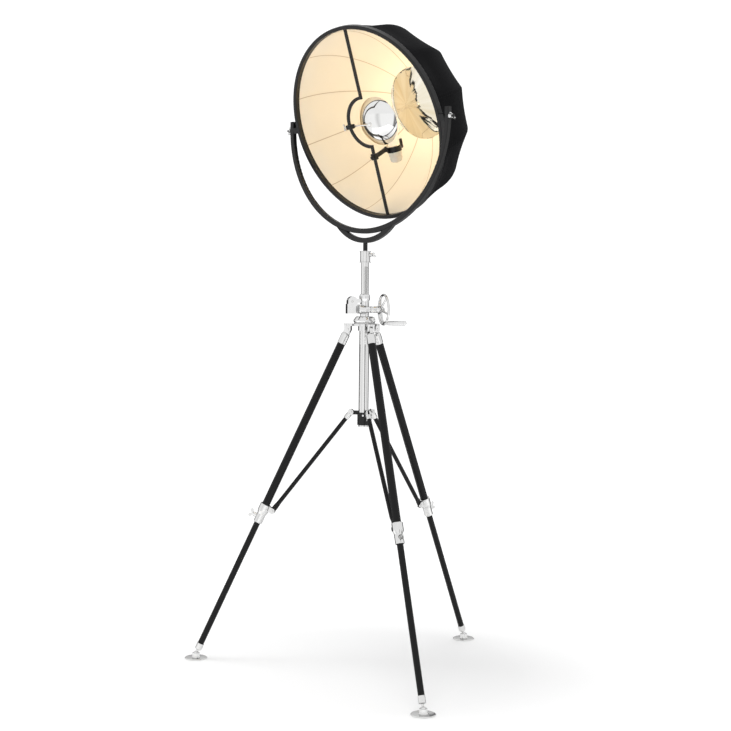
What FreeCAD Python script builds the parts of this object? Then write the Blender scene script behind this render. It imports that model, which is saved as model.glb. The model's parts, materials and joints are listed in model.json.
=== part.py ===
import FreeCAD, Part
import math
import os

# Tripod floor lamp with a geared column, a yoke and a tilting umbrella shade.
# Millimetres. +Z is up, the origin is on the floor under the column, the shade faces -Y at rest.

Vector = FreeCAD.Vector
Placement = FreeCAD.Placement
Rotation = FreeCAD.Rotation
ORIGIN = Vector(0, 0, 0)
X = Vector(1, 0, 0)
Y = Vector(0, 1, 0)
Z = Vector(0, 0, 1)

# Fits
RUN = 0.05          # radial clearance of a shaft that turns or slides in its hole
GAP = 0.3           # air between faces that pass each other
THUMB_SCREW_R = 2.5
SET_SCREW_R = 3.0

# Column and the tube round it
COLUMN_R = 12.0
COLUMN_WALL = 4.0
COLUMN_BORE_R = COLUMN_R - COLUMN_WALL
OUTER_TUBE_R = COLUMN_R + 3.4

# Legs
LEG_BEARINGS = {"a": 93.3, "b": 213.3, "c": 333.3}
FOOT_CIRCLE = 541.0         # radius of the circle of foot centres
PLATE_CORE_R = OUTER_TUBE_R + 22.6
PIVOT_CIRCLE = PLATE_CORE_R + 14.0      # radius of the leg pins round the column
PIVOT_HEIGHT = 1070.0
LEG_TUBE_R = 12.5
LEG_TUBE_WALL = 2.0
LOWER_LEG_R = LEG_TUBE_R - LEG_TUBE_WALL - 0.75
LOWER_LEG_WALL = 1.5
LEG_OVERLAP = 110.0         # length of lower leg left inside the upper tube
KNUCKLE_EYE_R = LEG_TUBE_R - 1.8
KNUCKLE_TONGUE = 10.0
KNUCKLE_R = LEG_TUBE_R + 0.8
KNUCKLE_SHOULDER = KNUCKLE_EYE_R + 2.3      # from the leg pin to the start of the ferrule
KNUCKLE_END = KNUCKLE_SHOULDER + 35.0   # from the leg pin to the end of the bright ferrule
KNUCKLE_SPIGOT = 30.0
LEG_PIN_R = 4.0
CLAMP_START = 618.0         # from the leg pin to the top of the leg clamp
CLAMP_LENGTH = 64.0
CLAMP_SEAT = 30.0           # depth of the clamp's seat for the upper tube
CLAMP_TOP_R = LEG_TUBE_R + 4.5
CLAMP_END_R = LOWER_LEG_R + 4.05
CLAMP_SCREW_AT = CLAMP_SEAT + 16.0      # from the clamp's top to its thumb screw
CLAMP_BOSS_R = 7.0
CLAMP_BOSS_REACH = CLAMP_END_R + 9.2
FERRULE_R = LOWER_LEG_R + 1.05
FERRULE_LENGTH = 22.0
FERRULE_CUP = 6.0
BALL_R = 8.0
BALL_NECK_R = 3.5
BALL_NECK = 10.0
FOOT_R = 36.0
FOOT_THICK = 4.0
FOOT_BALL_HEIGHT = BALL_R + 8.0

# Struts and their collar
STRUT_R = 6.75
STRUT_PIN_R = 2.5
LUG_REACH = CLAMP_TOP_R + 11.0      # from the leg's axis to the strut pin on the clamp
LUG_DROP = 10.0             # from the clamp's top to the strut pin
LUG_EAR = 4.0
LUG_EYE_R = 8.5
TONGUE_THICK = 5.0
TONGUE_WIDTH = 16.0
SLOT_HALF_WIDTH = STRUT_PIN_R + 1.5     # the strut's slotted end rides on the clamp pin
SLOT_INWARD = 6.6
SLOT_OUTWARD = 2.0
COLLAR_TOP = PIVOT_HEIGHT - 259.0
COLLAR_LENGTH = 40.0
COLLAR_R = OUTER_TUBE_R + 3.6
COLLAR_PIN_CIRCLE = COLLAR_R + 21.0
COLLAR_PIN_RISE = 0.0
COLLAR_LUG_THICK = 5.5
COLLAR_EYE_R = 7.5
SET_SCREW_BEARING = 310.0
FORK_FLATS = 18.0
FORK_WIDTH = 15.0
SOCKET_R = STRUT_R + 1.85
OUTER_TUBE_BOTTOM = COLLAR_TOP - COLLAR_LENGTH - 5.0

# Crown casting
PLATE_THICK = 7.0
PLATE_TOP = PIVOT_HEIGHT + KNUCKLE_EYE_R + GAP + PLATE_THICK
LOBE_R = 12.5
CROWN_TOP = PLATE_TOP + 23.0
CROWN_BOSS_R = OUTER_TUBE_R + 4.6
CROWN_BOSS_BOTTOM = PIVOT_HEIGHT - 4.0
CROWN_EAR = 6.0
CROWN_LIP = 4.0             # thickness of the crown over the outer tube
LOCK_BEARING = 356.0
LOCK_HEIGHT = PLATE_TOP + 14.0
LOCK_SCREW_R = 3.0
LOCK_KNOB_R = 8.5
LOCK_BOSS_REACH = OUTER_TUBE_R + 21.6

# Gear housing
SHAFT_BEARING = 63.3        # direction in which the crank shaft leaves the column
SHAFT_HEIGHT = CROWN_TOP + 22.0
SHAFT_R = 4.0
SHAFT_INNER_END = 20.0
BARREL_LEFT = 26.0
BARREL_RIGHT = COLUMN_R
BARREL_LEFT_R = 13.0
BARREL_RIGHT_R = 8.2
SLEEVE_R = COLUMN_R + 4.6
SLEEVE_TOP = CROWN_TOP + 70.0
SLEEVE_WAIST_R = COLUMN_R + 2.0
NECK_R = COLUMN_R + 1.5
BLOCK_NEAR = COLUMN_R + 2.0
BLOCK_FAR = COLUMN_R + 45.0
BLOCK_THICK = 18.0
BLOCK_BOTTOM = CROWN_TOP + 9.0
BLOCK_ARCH_HEIGHT = CROWN_TOP + 47.0
BLOCK_ARCH_R = 15.5
BLOCK_SCREW_R = 2.5

# Column and its rack
COLUMN_TOP = SLEEVE_TOP + 114.0
COLUMN_BOTTOM = CROWN_TOP - 231.0
RACK_BOTTOM = COLUMN_BOTTOM + 50.0
RACK_TOP = COLUMN_TOP - 27.0
MODULE = 1.0
PINION_TEETH = 12
PINION_WIDTH = 14.0
PROFILE_SHIFT = 0.3
PRESSURE_ANGLE = 20.0
BACKLASH = 0.12
RACK_TIP = COLUMN_R - 0.3   # from the column's axis to the tooth tips

# Hand wheel
SHAFT_COLLAR_R = 10.3
SHAFT_COLLAR = 18.0
WHEEL_AT = BARREL_RIGHT + SHAFT_COLLAR + 27.0   # along the shaft, from beside the column to the rim
WHEEL_R = 46.0
WHEEL_RIM_R = 3.6
SPOKES = 5
HUB_R = 9.0
GRIP_R = 7.0
GRIP_LENGTH = 64.0
GRIP_SPINDLE_R = 3.0
GRIP_ANGLE = 24.0           # from straight down, away from the column

# Top collar
TOP_COLLAR_R = COLUMN_R + 3.5
TOP_COLLAR_RIM_R = TOP_COLLAR_R + 1.7
TOP_COLLAR_BOTTOM = COLUMN_TOP - 16.0
TOP_COLLAR_TOP = COLUMN_TOP + 20.0
TOP_SCREW_BEARING = 29.0
TOP_SCREW_HEIGHT = TOP_COLLAR_TOP - 12.0

# Rim of the shade, and the yoke round it
RING_INNER_R = 294.0
RING_WIDTH = 12.0
RING_OUTER_R = RING_INNER_R + RING_WIDTH
RING_DEPTH = 20.0
YOKE_SECTION = 16.0
YOKE_ROOM = 18.0            # between the ring and the bow
YOKE_R = RING_OUTER_R + YOKE_ROOM + YOKE_SECTION / 2
YOKE_CORNER_R = 3.0
YOKE_END_RISE = 28.0
BRACKET_HALF_SPAN = 116.0
BRACKET_DROP = YOKE_R + 29.0
STEM_R = COLUMN_BORE_R - 1.0
STEM_BOTTOM = COLUMN_TOP - 59.0
AXIS_HEIGHT = TOP_COLLAR_TOP + 33.0 + BRACKET_DROP      # the tilt axis above the floor
STUD_R = 4.0
STUD_END = YOKE_R + YOKE_SECTION / 2 + 17.0
PIVOT_BLOCK = 18.0

# Head, in its own frame: X along the tilt axis, Y back from the rim, Z up in the rim's plane
TILT_DOWN = 20.0
GORES = 12
GORE_PHASE = 10.4
COVER_R = RING_OUTER_R - 1.5
COVER_DEPTH = 300.0
COVER_POWER = 2.2
COVER_THICK = 1.2
LINING_R = RING_INNER_R + 3.0
LINING_DEPTH = COVER_DEPTH - 12.0
LINING_POWER = 1.95
LINING_THICK = 1.2
RIB_R = COVER_R - COVER_THICK - 0.9
RIB_DEPTH = COVER_DEPTH - COVER_THICK - 0.9
RIB_HEIGHT = 4.0
RIB_THICK = 3.0
HUB_HOLE_R = 38.0           # hole in the cloth round the hub
HUB_DISC_R = HUB_HOLE_R + 4.0
HUB_STEM_R = 14.0
HUB_BACK = COVER_DEPTH - COVER_THICK - 2.4
CAP_FRONT = COVER_DEPTH + 0.2
CAP_THICK = 3.0
CAP_R = HUB_HOLE_R + 8.0
DISH_R = 119.0
DISH_ROOM = 8.6             # from the dish's edge to the lining
DISH_CROWN = 8.0
DISH_THICK = 1.0
DISH_POST_R = 8.0

# Bar across the rim and the small bowl on it
BAR_WIDTH = 10.0
BAR_THICK = 5.0
BEND_R = 78.0
BEND_X = 3.0
BEND_Z = 4.0
ROD_R = 2.5
ROD_Y = 9.0
ROD_Z = -6.0
CLAMP_BLOCK_NEAR = BEND_R - BEND_X - BAR_WIDTH / 2 - 4.0
CLAMP_BLOCK_FAR = BEND_R - BEND_X + BAR_WIDTH / 2 + 8.0
BOWL_R = 77.0
BOWL_FRONT = ROD_Y + ROD_R + 0.5
BOWL_DEPTH = 43.0
BOWL_THICK = 1.0
BOWL_BEAD_R = 1.6
ROD_SCREW_END = CLAMP_BLOCK_FAR + 11.0

# Lamp arm and lamp
BULB_R = 35.0
HOLDER_R = 21.5
LAMP_Y = BOWL_FRONT + BOWL_DEPTH + 5.0 + BULB_R
ARM_Z = BEND_Z - BEND_R - 32.0
HINGE_Y = LAMP_Y - HOLDER_R - 16.5
HINGE_Z = ARM_Z + 8.0
STRAP_THICK = 4.0
STRAP_HEIGHT = 14.0
HINGE_R = 4.5
HINGE_PIN_R = 2.0
HOLDER_TOP = HINGE_Z + 2.0
HOLDER_BOTTOM = HOLDER_TOP - 52.0
BAND_TOP = HOLDER_TOP - 1.0
BAND_BOTTOM = BAND_TOP - 18.0
BAND_THICK = 2.5
ARM_KNOB_Y = LAMP_Y + HOLDER_R + 16.5
BULB_CENTRE_Z = HOLDER_TOP + 64.0
BULB_CAP_R = 13.3
BULB_CAP_BOTTOM = HOLDER_TOP - 32.0


def cylinder(radius, start, end, at=ORIGIN, axis=Z):
    """A round bar from start to end along axis through at."""
    return Part.makeCylinder(radius, end - start, at + axis * start, axis)


def cone(start_radius, end_radius, start, end, at=ORIGIN, axis=Z):
    return Part.makeCone(start_radius, end_radius, end - start, at + axis * start, axis)


def slab(low, high):
    """A box between two corners."""
    return Part.makeBox(high[0] - low[0], high[1] - low[1], high[2] - low[2], Vector(*low))


def fuse(first, *others):
    return first.multiFuse(list(others)).removeSplitter()


def turned(outline, axis_at=ORIGIN, axis=Z):
    """Spins a closed outline of (radius, height) points, drawn in the XZ plane, round Z."""
    points = [Vector(radius, 0, height) for radius, height in outline]
    face = Part.Face(Part.makePolygon(points + points[:1]))
    body = face.revolve(ORIGIN, Z, 360)
    return aimed(body, axis_at, axis)


def aimed(shape, at, axis):
    """Moves a shape drawn on +Z so that its Z axis lies along axis and its origin at `at`."""
    body = shape.copy()
    body.Placement = Placement(at, Rotation(Z, axis)) * body.Placement
    return body


def radial(bearing):
    angle = math.radians(bearing)
    return Vector(math.cos(angle), math.sin(angle), 0)


def about_z(shape, bearing):
    body = shape.copy()
    body.rotate(ORIGIN, Z, bearing)
    return body


def wings(reach, rise, thick, lobe, root):
    """A pair of thumb wings standing on +Z, spread along X, with lobes of radius lobe."""
    bodies = []
    for side in (-1, 1):
        disc = cylinder(lobe, -thick / 2, thick / 2, Vector(side * reach, 0, rise), Y)
        foot = [Vector(side * x, -thick / 2, z) for x, z in (
            (0, 0), (root, 0), (reach + lobe * 0.7, rise - lobe * 0.6),
            (reach - lobe * 0.7, rise + lobe * 0.6), (0, root))]
        web = Part.Face(Part.makePolygon(foot + foot[:1])).extrude(Y * thick)
        bodies += [disc, web]
    return bodies


def wing_screw(shank_r, shank_from, shank_to):
    """A thumb screw on +Z: its shank, a collar against the boss and two wings."""
    collar = cylinder(shank_r + 2.4, shank_to, shank_to + 4)
    shank = cylinder(shank_r, shank_from, shank_to + 1)
    head = [wing.translated(Z * (shank_to + 2)) for wing in wings(8.5, 8, 2.6, 4.6, 4)]
    return fuse(shank, collar, *head)


# ---------------------------------------------------------------- legs

def leg_lean():
    """Angle of the leg from straight down, in degrees."""
    return math.degrees(math.atan2(FOOT_CIRCLE - PIVOT_CIRCLE, PIVOT_HEIGHT - FOOT_BALL_HEIGHT))


LEG_LENGTH = math.hypot(FOOT_CIRCLE - PIVOT_CIRCLE, PIVOT_HEIGHT - FOOT_BALL_HEIGHT)
FERRULE_TOP = LEG_LENGTH - BALL_R - BALL_NECK + 2.0 - FERRULE_LENGTH


def on_leg(shape, bearing):
    """Places a shape drawn with the leg pin at the origin, the leg down -Z and outwards on +X."""
    body = shape.copy()
    body.rotate(ORIGIN, Y, -leg_lean())
    body.translate(Vector(PIVOT_CIRCLE, 0, PIVOT_HEIGHT))
    return about_z(body, bearing)


def leg_knuckle():
    eye = cylinder(KNUCKLE_EYE_R, -KNUCKLE_TONGUE / 2, KNUCKLE_TONGUE / 2, ORIGIN, Y)
    full = KNUCKLE_SHOULDER + 5
    tongue = slab((-KNUCKLE_EYE_R, -KNUCKLE_TONGUE / 2, 1 - full), (KNUCKLE_EYE_R, KNUCKLE_TONGUE / 2, 0))
    ferrule = cone(KNUCKLE_EYE_R - 1, KNUCKLE_R, KNUCKLE_SHOULDER, full, ORIGIN, -Z)
    barrel = cylinder(KNUCKLE_R, full, KNUCKLE_END, ORIGIN, -Z)
    spigot = cylinder(LEG_TUBE_R - LEG_TUBE_WALL, KNUCKLE_END, KNUCKLE_END + KNUCKLE_SPIGOT, ORIGIN, -Z)
    hole = cylinder(LEG_PIN_R + RUN, -KNUCKLE_TONGUE, KNUCKLE_TONGUE, ORIGIN, Y)
    return fuse(eye, tongue, ferrule, barrel, spigot).cut(hole)


def leg_tube():
    end = CLAMP_START + CLAMP_SEAT
    outside = cylinder(LEG_TUBE_R, KNUCKLE_END, end, ORIGIN, -Z)
    return outside.cut(cylinder(LEG_TUBE_R - LEG_TUBE_WALL, KNUCKLE_END - 1, end + 1, ORIGIN, -Z))


def leg_clamp():
    """The sleeve with its strut lug, screw boss and the pin of the strut."""
    end = CLAMP_START + CLAMP_LENGTH
    screw_z = -(CLAMP_START + CLAMP_SCREW_AT)
    pin_z = -(CLAMP_START + LUG_DROP)
    sleeve = turned([(0, -CLAMP_START), (CLAMP_TOP_R - 1, -CLAMP_START), (CLAMP_TOP_R, -CLAMP_START - 1),
                     (CLAMP_TOP_R, -CLAMP_START - 24), (CLAMP_END_R, -CLAMP_START - 34),
                     (CLAMP_END_R, -end + 1), (CLAMP_END_R - 1, -end), (0, -end)])
    boss = cylinder(CLAMP_BOSS_R, 0, CLAMP_BOSS_REACH, Vector(0, 0, screw_z), X)
    ears = []
    for side in (-1, 1):
        inner = side * (TONGUE_THICK / 2 + GAP)
        outer = side * (TONGUE_THICK / 2 + GAP + LUG_EAR)
        low, high = min(inner, outer), max(inner, outer)
        ears.append(cylinder(LUG_EYE_R, low, high, Vector(-LUG_REACH, 0, pin_z), Y))
        ears.append(slab((-LUG_REACH, low, pin_z - LUG_EYE_R), (-8, high, pin_z + LUG_EYE_R)))
    pin_half = TONGUE_THICK / 2 + GAP + LUG_EAR
    pin_at = Vector(-LUG_REACH, 0, pin_z)
    body = fuse(sleeve, boss, *ears)
    body = body.cut(cylinder(LEG_TUBE_R, CLAMP_START - 1, CLAMP_START + CLAMP_SEAT, ORIGIN, -Z))
    body = body.cut(cylinder(LOWER_LEG_R + RUN, CLAMP_START, end + 1, ORIGIN, -Z))
    body = body.cut(cylinder(THUMB_SCREW_R + RUN, 0, CLAMP_BOSS_REACH + 1, Vector(0, 0, screw_z), X))
    body = body.cut(cylinder(STRUT_PIN_R, -pin_half - 1, pin_half + 1, pin_at, Y))
    pin = fuse(cylinder(STRUT_PIN_R, -pin_half - 1, pin_half + 1, pin_at, Y),
               cylinder(STRUT_PIN_R + 1.6, pin_half, pin_half + 1.8, pin_at, Y),
               cylinder(STRUT_PIN_R + 1.6, -pin_half - 1.8, -pin_half, pin_at, Y))
    return Part.makeCompound([body, pin])


def clamp_screw():
    screw = wing_screw(THUMB_SCREW_R, LOWER_LEG_R + GAP, CLAMP_BOSS_REACH + GAP)
    return aimed(screw, Vector(0, 0, -(CLAMP_START + CLAMP_SCREW_AT)), X)


def lower_leg():
    top = CLAMP_START + CLAMP_SEAT - LEG_OVERLAP
    bottom = FERRULE_TOP + FERRULE_CUP
    outside = cylinder(LOWER_LEG_R, top, bottom, ORIGIN, -Z)
    return outside.cut(cylinder(LOWER_LEG_R - LOWER_LEG_WALL, top - 1, bottom + 1, ORIGIN, -Z))


def foot_ferrule():
    """The bright end of the leg: a cup on the tube, a neck and the ball that carries the foot."""
    top = FERRULE_TOP
    end = top + FERRULE_LENGTH
    cup = turned([(0, -top), (FERRULE_R, -top), (FERRULE_R, -end + 2), (FERRULE_R - 2, -end), (0, -end)])
    cup = cup.cut(cylinder(LOWER_LEG_R, top - 1, top + FERRULE_CUP, ORIGIN, -Z))
    neck = cylinder(BALL_NECK_R, end - 1, LEG_LENGTH, ORIGIN, -Z)
    ball = Part.makeSphere(BALL_R, Vector(0, 0, -LEG_LENGTH))
    return fuse(cup, neck, ball)


def foot_disc():
    socket_top = FOOT_BALL_HEIGHT + 2.5
    outline = [(0, 0), (FOOT_R - 1, 0), (FOOT_R, 1), (FOOT_R, FOOT_THICK - 1.4), (FOOT_R - 1.4, FOOT_THICK),
               (15.5, FOOT_THICK + 1.0), (12.5, FOOT_BALL_HEIGHT - 6), (11.5, socket_top), (0, socket_top)]
    body = turned(outline).cut(Part.makeSphere(BALL_R + RUN, Vector(0, 0, FOOT_BALL_HEIGHT)))
    return body.translated(Vector(FOOT_CIRCLE, 0, 0))


# ---------------------------------------------------------------- struts

def clamp_pin_place():
    """Radius and height of the strut's pin on the leg clamp, at rest."""
    lean = math.radians(leg_lean())
    along = CLAMP_START + LUG_DROP
    radius = PIVOT_CIRCLE + along * math.sin(lean) - LUG_REACH * math.cos(lean)
    height = PIVOT_HEIGHT - along * math.cos(lean) - LUG_REACH * math.sin(lean)
    return radius, height


COLLAR_PIN_HEIGHT = COLLAR_TOP + COLLAR_PIN_RISE
CLAMP_PIN_RADIUS, CLAMP_PIN_HEIGHT = clamp_pin_place()
STRUT_LENGTH = math.hypot(CLAMP_PIN_RADIUS - COLLAR_PIN_CIRCLE, COLLAR_PIN_HEIGHT - CLAMP_PIN_HEIGHT)
STRUT_LEAN = math.degrees(math.atan2(CLAMP_PIN_RADIUS - COLLAR_PIN_CIRCLE,
                                     COLLAR_PIN_HEIGHT - CLAMP_PIN_HEIGHT))
SOCKET_START = FORK_FLATS / 2
SOCKET_END = SOCKET_START + 15.5
STRUT_START = SOCKET_START + 3.5


def on_strut(shape, bearing):
    """Places a shape drawn with the collar pin at the origin and the strut down -Z."""
    body = shape.copy()
    body.rotate(ORIGIN, Y, -STRUT_LEAN)
    body.translate(Vector(COLLAR_PIN_CIRCLE, 0, COLLAR_PIN_HEIGHT))
    return about_z(body, bearing)


def strut():
    flat_start = STRUT_LENGTH - SLOT_INWARD - TONGUE_WIDTH * 0.9
    round_end = flat_start - 16
    bar = cylinder(STRUT_R, STRUT_START, round_end, ORIGIN, -Z)
    ring = Part.Wire(Part.makeCircle(STRUT_R, Vector(0, 0, -round_end), Z))
    half_width, half_thick = TONGUE_WIDTH / 2, TONGUE_THICK / 2
    corner = half_thick - 0.2
    flat = rounded_rectangle(TONGUE_WIDTH, TONGUE_THICK, corner).translated(Z * -flat_start)
    crush = Part.makeLoft([ring, flat], True)
    tip = STRUT_LENGTH + SLOT_OUTWARD
    tongue = slab((-half_width, -half_thick, -tip), (half_width, half_thick, -flat_start))
    end = cylinder(half_width, -half_thick, half_thick, Vector(0, 0, -tip), Y)
    slot_in = Vector(0, 0, -(STRUT_LENGTH - SLOT_INWARD))
    slot = fuse(cylinder(SLOT_HALF_WIDTH, -half_thick - 1, half_thick + 1, slot_in, Y),
                cylinder(SLOT_HALF_WIDTH, -half_thick - 1, half_thick + 1, Vector(0, 0, -tip), Y),
                slab((-SLOT_HALF_WIDTH, -half_thick - 1, -tip), (SLOT_HALF_WIDTH, half_thick + 1, slot_in.z)))
    return fuse(bar, crush, tongue, end).cut(slot)


def strut_knuckle():
    """The bright fork that joins a strut to its lug on the collar."""
    corner_r = FORK_FLATS / 2 / math.cos(math.pi / 8)
    corners = [Vector(corner_r * math.cos(math.pi / 8 * (2 * i + 1)), -FORK_WIDTH / 2,
                      corner_r * math.sin(math.pi / 8 * (2 * i + 1))) for i in range(8)]
    fork = Part.Face(Part.makePolygon(corners + corners[:1])).extrude(Y * FORK_WIDTH)
    socket = cylinder(SOCKET_R, SOCKET_START - 4, SOCKET_END, ORIGIN, -Z)
    mouth = COLLAR_LUG_THICK / 2 + 0.25
    body = fuse(fork, socket)
    body = body.cut(slab((-FORK_FLATS, -mouth, -COLLAR_EYE_R - 1.7), (FORK_FLATS, mouth, FORK_FLATS)))
    body = body.cut(cylinder(STRUT_PIN_R + RUN, -FORK_WIDTH, FORK_WIDTH, ORIGIN, Y))
    return body.cut(cylinder(STRUT_R, STRUT_START, SOCKET_END + 1, ORIGIN, -Z))


def spreader_collar():
    bottom = COLLAR_TOP - COLLAR_LENGTH
    body = turned([(0, bottom), (COLLAR_R - 1, bottom), (COLLAR_R, bottom + 1), (COLLAR_R, COLLAR_TOP - 1),
                   (COLLAR_R - 1, COLLAR_TOP), (0, COLLAR_TOP)])
    lugs = []
    for bearing in LEG_BEARINGS.values():
        half = COLLAR_LUG_THICK / 2
        pin_at = Vector(COLLAR_PIN_CIRCLE, 0, COLLAR_PIN_HEIGHT)
        eye = cylinder(COLLAR_EYE_R, -half, half, pin_at, Y)
        web = slab((OUTER_TUBE_R, -half, COLLAR_PIN_HEIGHT - COLLAR_EYE_R),
                   (COLLAR_PIN_CIRCLE, half, COLLAR_PIN_HEIGHT + COLLAR_EYE_R - 2.5))
        lug = fuse(eye, web).cut(cylinder(STRUT_PIN_R, -half - 1, half + 1, pin_at, Y))
        lugs.append(about_z(lug, bearing))
    body = fuse(body, *lugs).cut(cylinder(OUTER_TUBE_R + RUN, bottom - 1, COLLAR_TOP + 20))
    return body.cut(set_screw())


def set_screw():
    """The small screw in the collar's wall."""
    at = Vector(0, 0, COLLAR_TOP - 9)
    return cylinder(SET_SCREW_R, OUTER_TUBE_R + GAP, COLLAR_R + 1.5, at, radial(SET_SCREW_BEARING))


def spreader_pins():
    half = FORK_WIDTH / 2 + GAP
    solids = [set_screw()]
    for bearing in LEG_BEARINGS.values():
        at = Vector(COLLAR_PIN_CIRCLE, 0, COLLAR_PIN_HEIGHT)
        pin = fuse(cylinder(STRUT_PIN_R, -half - 1, half + 1, at, Y),
                   cylinder(STRUT_PIN_R + 1.8, half, half + 1.8, at, Y),
                   cylinder(STRUT_PIN_R + 1.8, -half - 1.8, -half, at, Y))
        solids.append(about_z(pin, bearing))
    return Part.makeCompound(solids)


# ---------------------------------------------------------------- crown and column

def crown():
    """Stepped round base, lobed plate and the ears that hold the legs."""
    waist = OUTER_TUBE_R + 15.6
    dome = turned([(0, CROWN_BOSS_BOTTOM), (CROWN_BOSS_R, CROWN_BOSS_BOTTOM),
                   (CROWN_BOSS_R, PLATE_TOP - PLATE_THICK), (PLATE_CORE_R, PLATE_TOP - PLATE_THICK),
                   (PLATE_CORE_R, PLATE_TOP), (waist + 1.5, PLATE_TOP + 0.5), (waist, PLATE_TOP + 3),
                   (waist + 2, PLATE_TOP + 5), (waist + 3.5, PLATE_TOP + 9), (waist + 2.5, PLATE_TOP + 13),
                   (waist - 4, CROWN_TOP - 1), (waist - 6, CROWN_TOP), (0, CROWN_TOP)])
    solids = [dome]
    plate_bottom = PLATE_TOP - PLATE_THICK
    for bearing in LEG_BEARINGS.values():
        lobe_half = KNUCKLE_TONGUE / 2 + GAP + CROWN_EAR
        arm = slab((0, -lobe_half, plate_bottom), (PIVOT_CIRCLE, lobe_half, PLATE_TOP))
        tip = cylinder(LOBE_R, plate_bottom, PLATE_TOP, Vector(PIVOT_CIRCLE, 0, 0))
        solids += [about_z(arm, bearing), about_z(tip, bearing)]
        for side in (-1, 1):
            inner = side * (KNUCKLE_TONGUE / 2 + GAP)
            outer = side * lobe_half
            low, high = min(inner, outer), max(inner, outer)
            eye = cylinder(KNUCKLE_EYE_R - 0.5, low, high, Vector(PIVOT_CIRCLE, 0, PIVOT_HEIGHT), Y)
            cheek = slab((PIVOT_CIRCLE - KNUCKLE_EYE_R + 0.5, low, PIVOT_HEIGHT),
                         (PIVOT_CIRCLE + KNUCKLE_EYE_R - 0.5, high, PLATE_TOP - 1))
            solids += [about_z(eye, bearing), about_z(cheek, bearing)]
    lock_at = Vector(0, 0, LOCK_HEIGHT)
    solids.append(cylinder(LOCK_KNOB_R, OUTER_TUBE_R + 6.6, LOCK_BOSS_REACH, lock_at, radial(LOCK_BEARING)))
    body = fuse(*solids)
    body = body.cut(cylinder(OUTER_TUBE_R, CROWN_BOSS_BOTTOM - 1, CROWN_TOP - CROWN_LIP))
    body = body.cut(cylinder(COLUMN_R + RUN, CROWN_TOP - CROWN_LIP - 1, CROWN_TOP + 1))
    body = body.cut(cylinder(LOCK_SCREW_R + RUN, OUTER_TUBE_R - 1, LOCK_BOSS_REACH + 1, lock_at,
                             radial(LOCK_BEARING)))
    for bearing in LEG_BEARINGS.values():
        body = body.cut(about_z(leg_pin(), bearing))
    return body


def leg_pin():
    half = KNUCKLE_TONGUE / 2 + GAP + CROWN_EAR
    at = Vector(PIVOT_CIRCLE, 0, PIVOT_HEIGHT)
    return cylinder(LEG_PIN_R, -half - 1.5, half + 1.5, at, Y)


def outer_tube():
    top = CROWN_TOP - CROWN_LIP
    tube = cylinder(OUTER_TUBE_R, OUTER_TUBE_BOTTOM, top)
    tube = tube.cut(cylinder(COLUMN_R + RUN, OUTER_TUBE_BOTTOM - 1, top + 1))
    lock_at = Vector(0, 0, LOCK_HEIGHT)
    passage = cylinder(LOCK_SCREW_R + RUN, COLUMN_R - 3, OUTER_TUBE_R + 1, lock_at, radial(LOCK_BEARING))
    return tube.cut(passage)


def lock_knob():
    """Screw through the crown's boss, with a round head and a socket in it."""
    shank = cylinder(LOCK_SCREW_R, COLUMN_R + GAP, LOCK_BOSS_REACH + 1)
    head_start = LOCK_BOSS_REACH + GAP
    head = turned([(0, head_start), (7.5, head_start), (7.5, head_start + 5), (6, head_start + 7),
                   (0, head_start + 7)])
    socket = cylinder(2.5, head_start + 2, head_start + 8)
    return aimed(fuse(shank, head).cut(socket), Vector(0, 0, LOCK_HEIGHT), radial(LOCK_BEARING))


def on_shaft(shape):
    """Places a shape drawn with the crank shaft on +Z, the column towards -X and straight down on +Y."""
    body = shape.copy()
    outwards = radial(SHAFT_BEARING)
    towards = radial(SHAFT_BEARING - 90)
    frame = FreeCAD.Matrix(towards.x, 0, outwards.x, 0,
                           towards.y, 0, outwards.y, 0,
                           0, -1, 0, 0, 0, 0, 0, 1)
    place = Placement(frame)
    place.Base = towards * PINION_OFFSET + Z * SHAFT_HEIGHT
    body.Placement = place * body.Placement
    return body


PITCH_R = MODULE * PINION_TEETH / 2
PINION_OFFSET = RACK_TIP - MODULE + PITCH_R + PROFILE_SHIFT * MODULE
PINION_TIP_R = PITCH_R + MODULE * (1 + PROFILE_SHIFT)
PINION_ROOT_R = PITCH_R - MODULE * (1.25 - PROFILE_SHIFT)


def gear_housing():
    """Sleeve round the column, tapered barrel round the pinion and the arched brake block."""
    sleeve = turned([(0, CROWN_TOP), (NECK_R, CROWN_TOP), (NECK_R, CROWN_TOP + 7),
                     (SLEEVE_WAIST_R, CROWN_TOP + 8), (SLEEVE_WAIST_R, SLEEVE_TOP - 22),
                     (SLEEVE_R, SLEEVE_TOP - 14), (SLEEVE_R, SLEEVE_TOP - 6),
                     (SLEEVE_R - 2.2, SLEEVE_TOP - 1.4), (SLEEVE_R - 4, SLEEVE_TOP), (0, SLEEVE_TOP)])
    round_end = 4.0
    barrel = turned([(0, -BARREL_LEFT), (BARREL_LEFT_R - round_end, -BARREL_LEFT),
                     (BARREL_LEFT_R - 1.2, -BARREL_LEFT + 1.2), (BARREL_LEFT_R, -BARREL_LEFT + round_end),
                     (BARREL_LEFT_R - 1, -4), (BARREL_RIGHT_R, BARREL_RIGHT), (0, BARREL_RIGHT)])
    along = radial(SHAFT_BEARING)
    block = brake_block()
    body = fuse(sleeve, on_shaft(barrel), block)
    body = body.cut(cylinder(COLUMN_R + RUN, CROWN_TOP - 1, SLEEVE_TOP + 1))
    cavity = fuse(cylinder(PINION_TIP_R + GAP, -PINION_WIDTH / 2 - 1, PINION_WIDTH / 2 + 1),
                  cylinder(SHAFT_R + RUN, -SHAFT_INNER_END, BARREL_RIGHT + 1))
    body = body.cut(on_shaft(cavity))
    screw_at = Vector(0, 0, BLOCK_ARCH_HEIGHT) - along * (BLOCK_FAR - BLOCK_ARCH_R)
    return body.cut(cylinder(BLOCK_SCREW_R, -BLOCK_THICK, BLOCK_THICK, screw_at, radial(SHAFT_BEARING - 90)))


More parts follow.
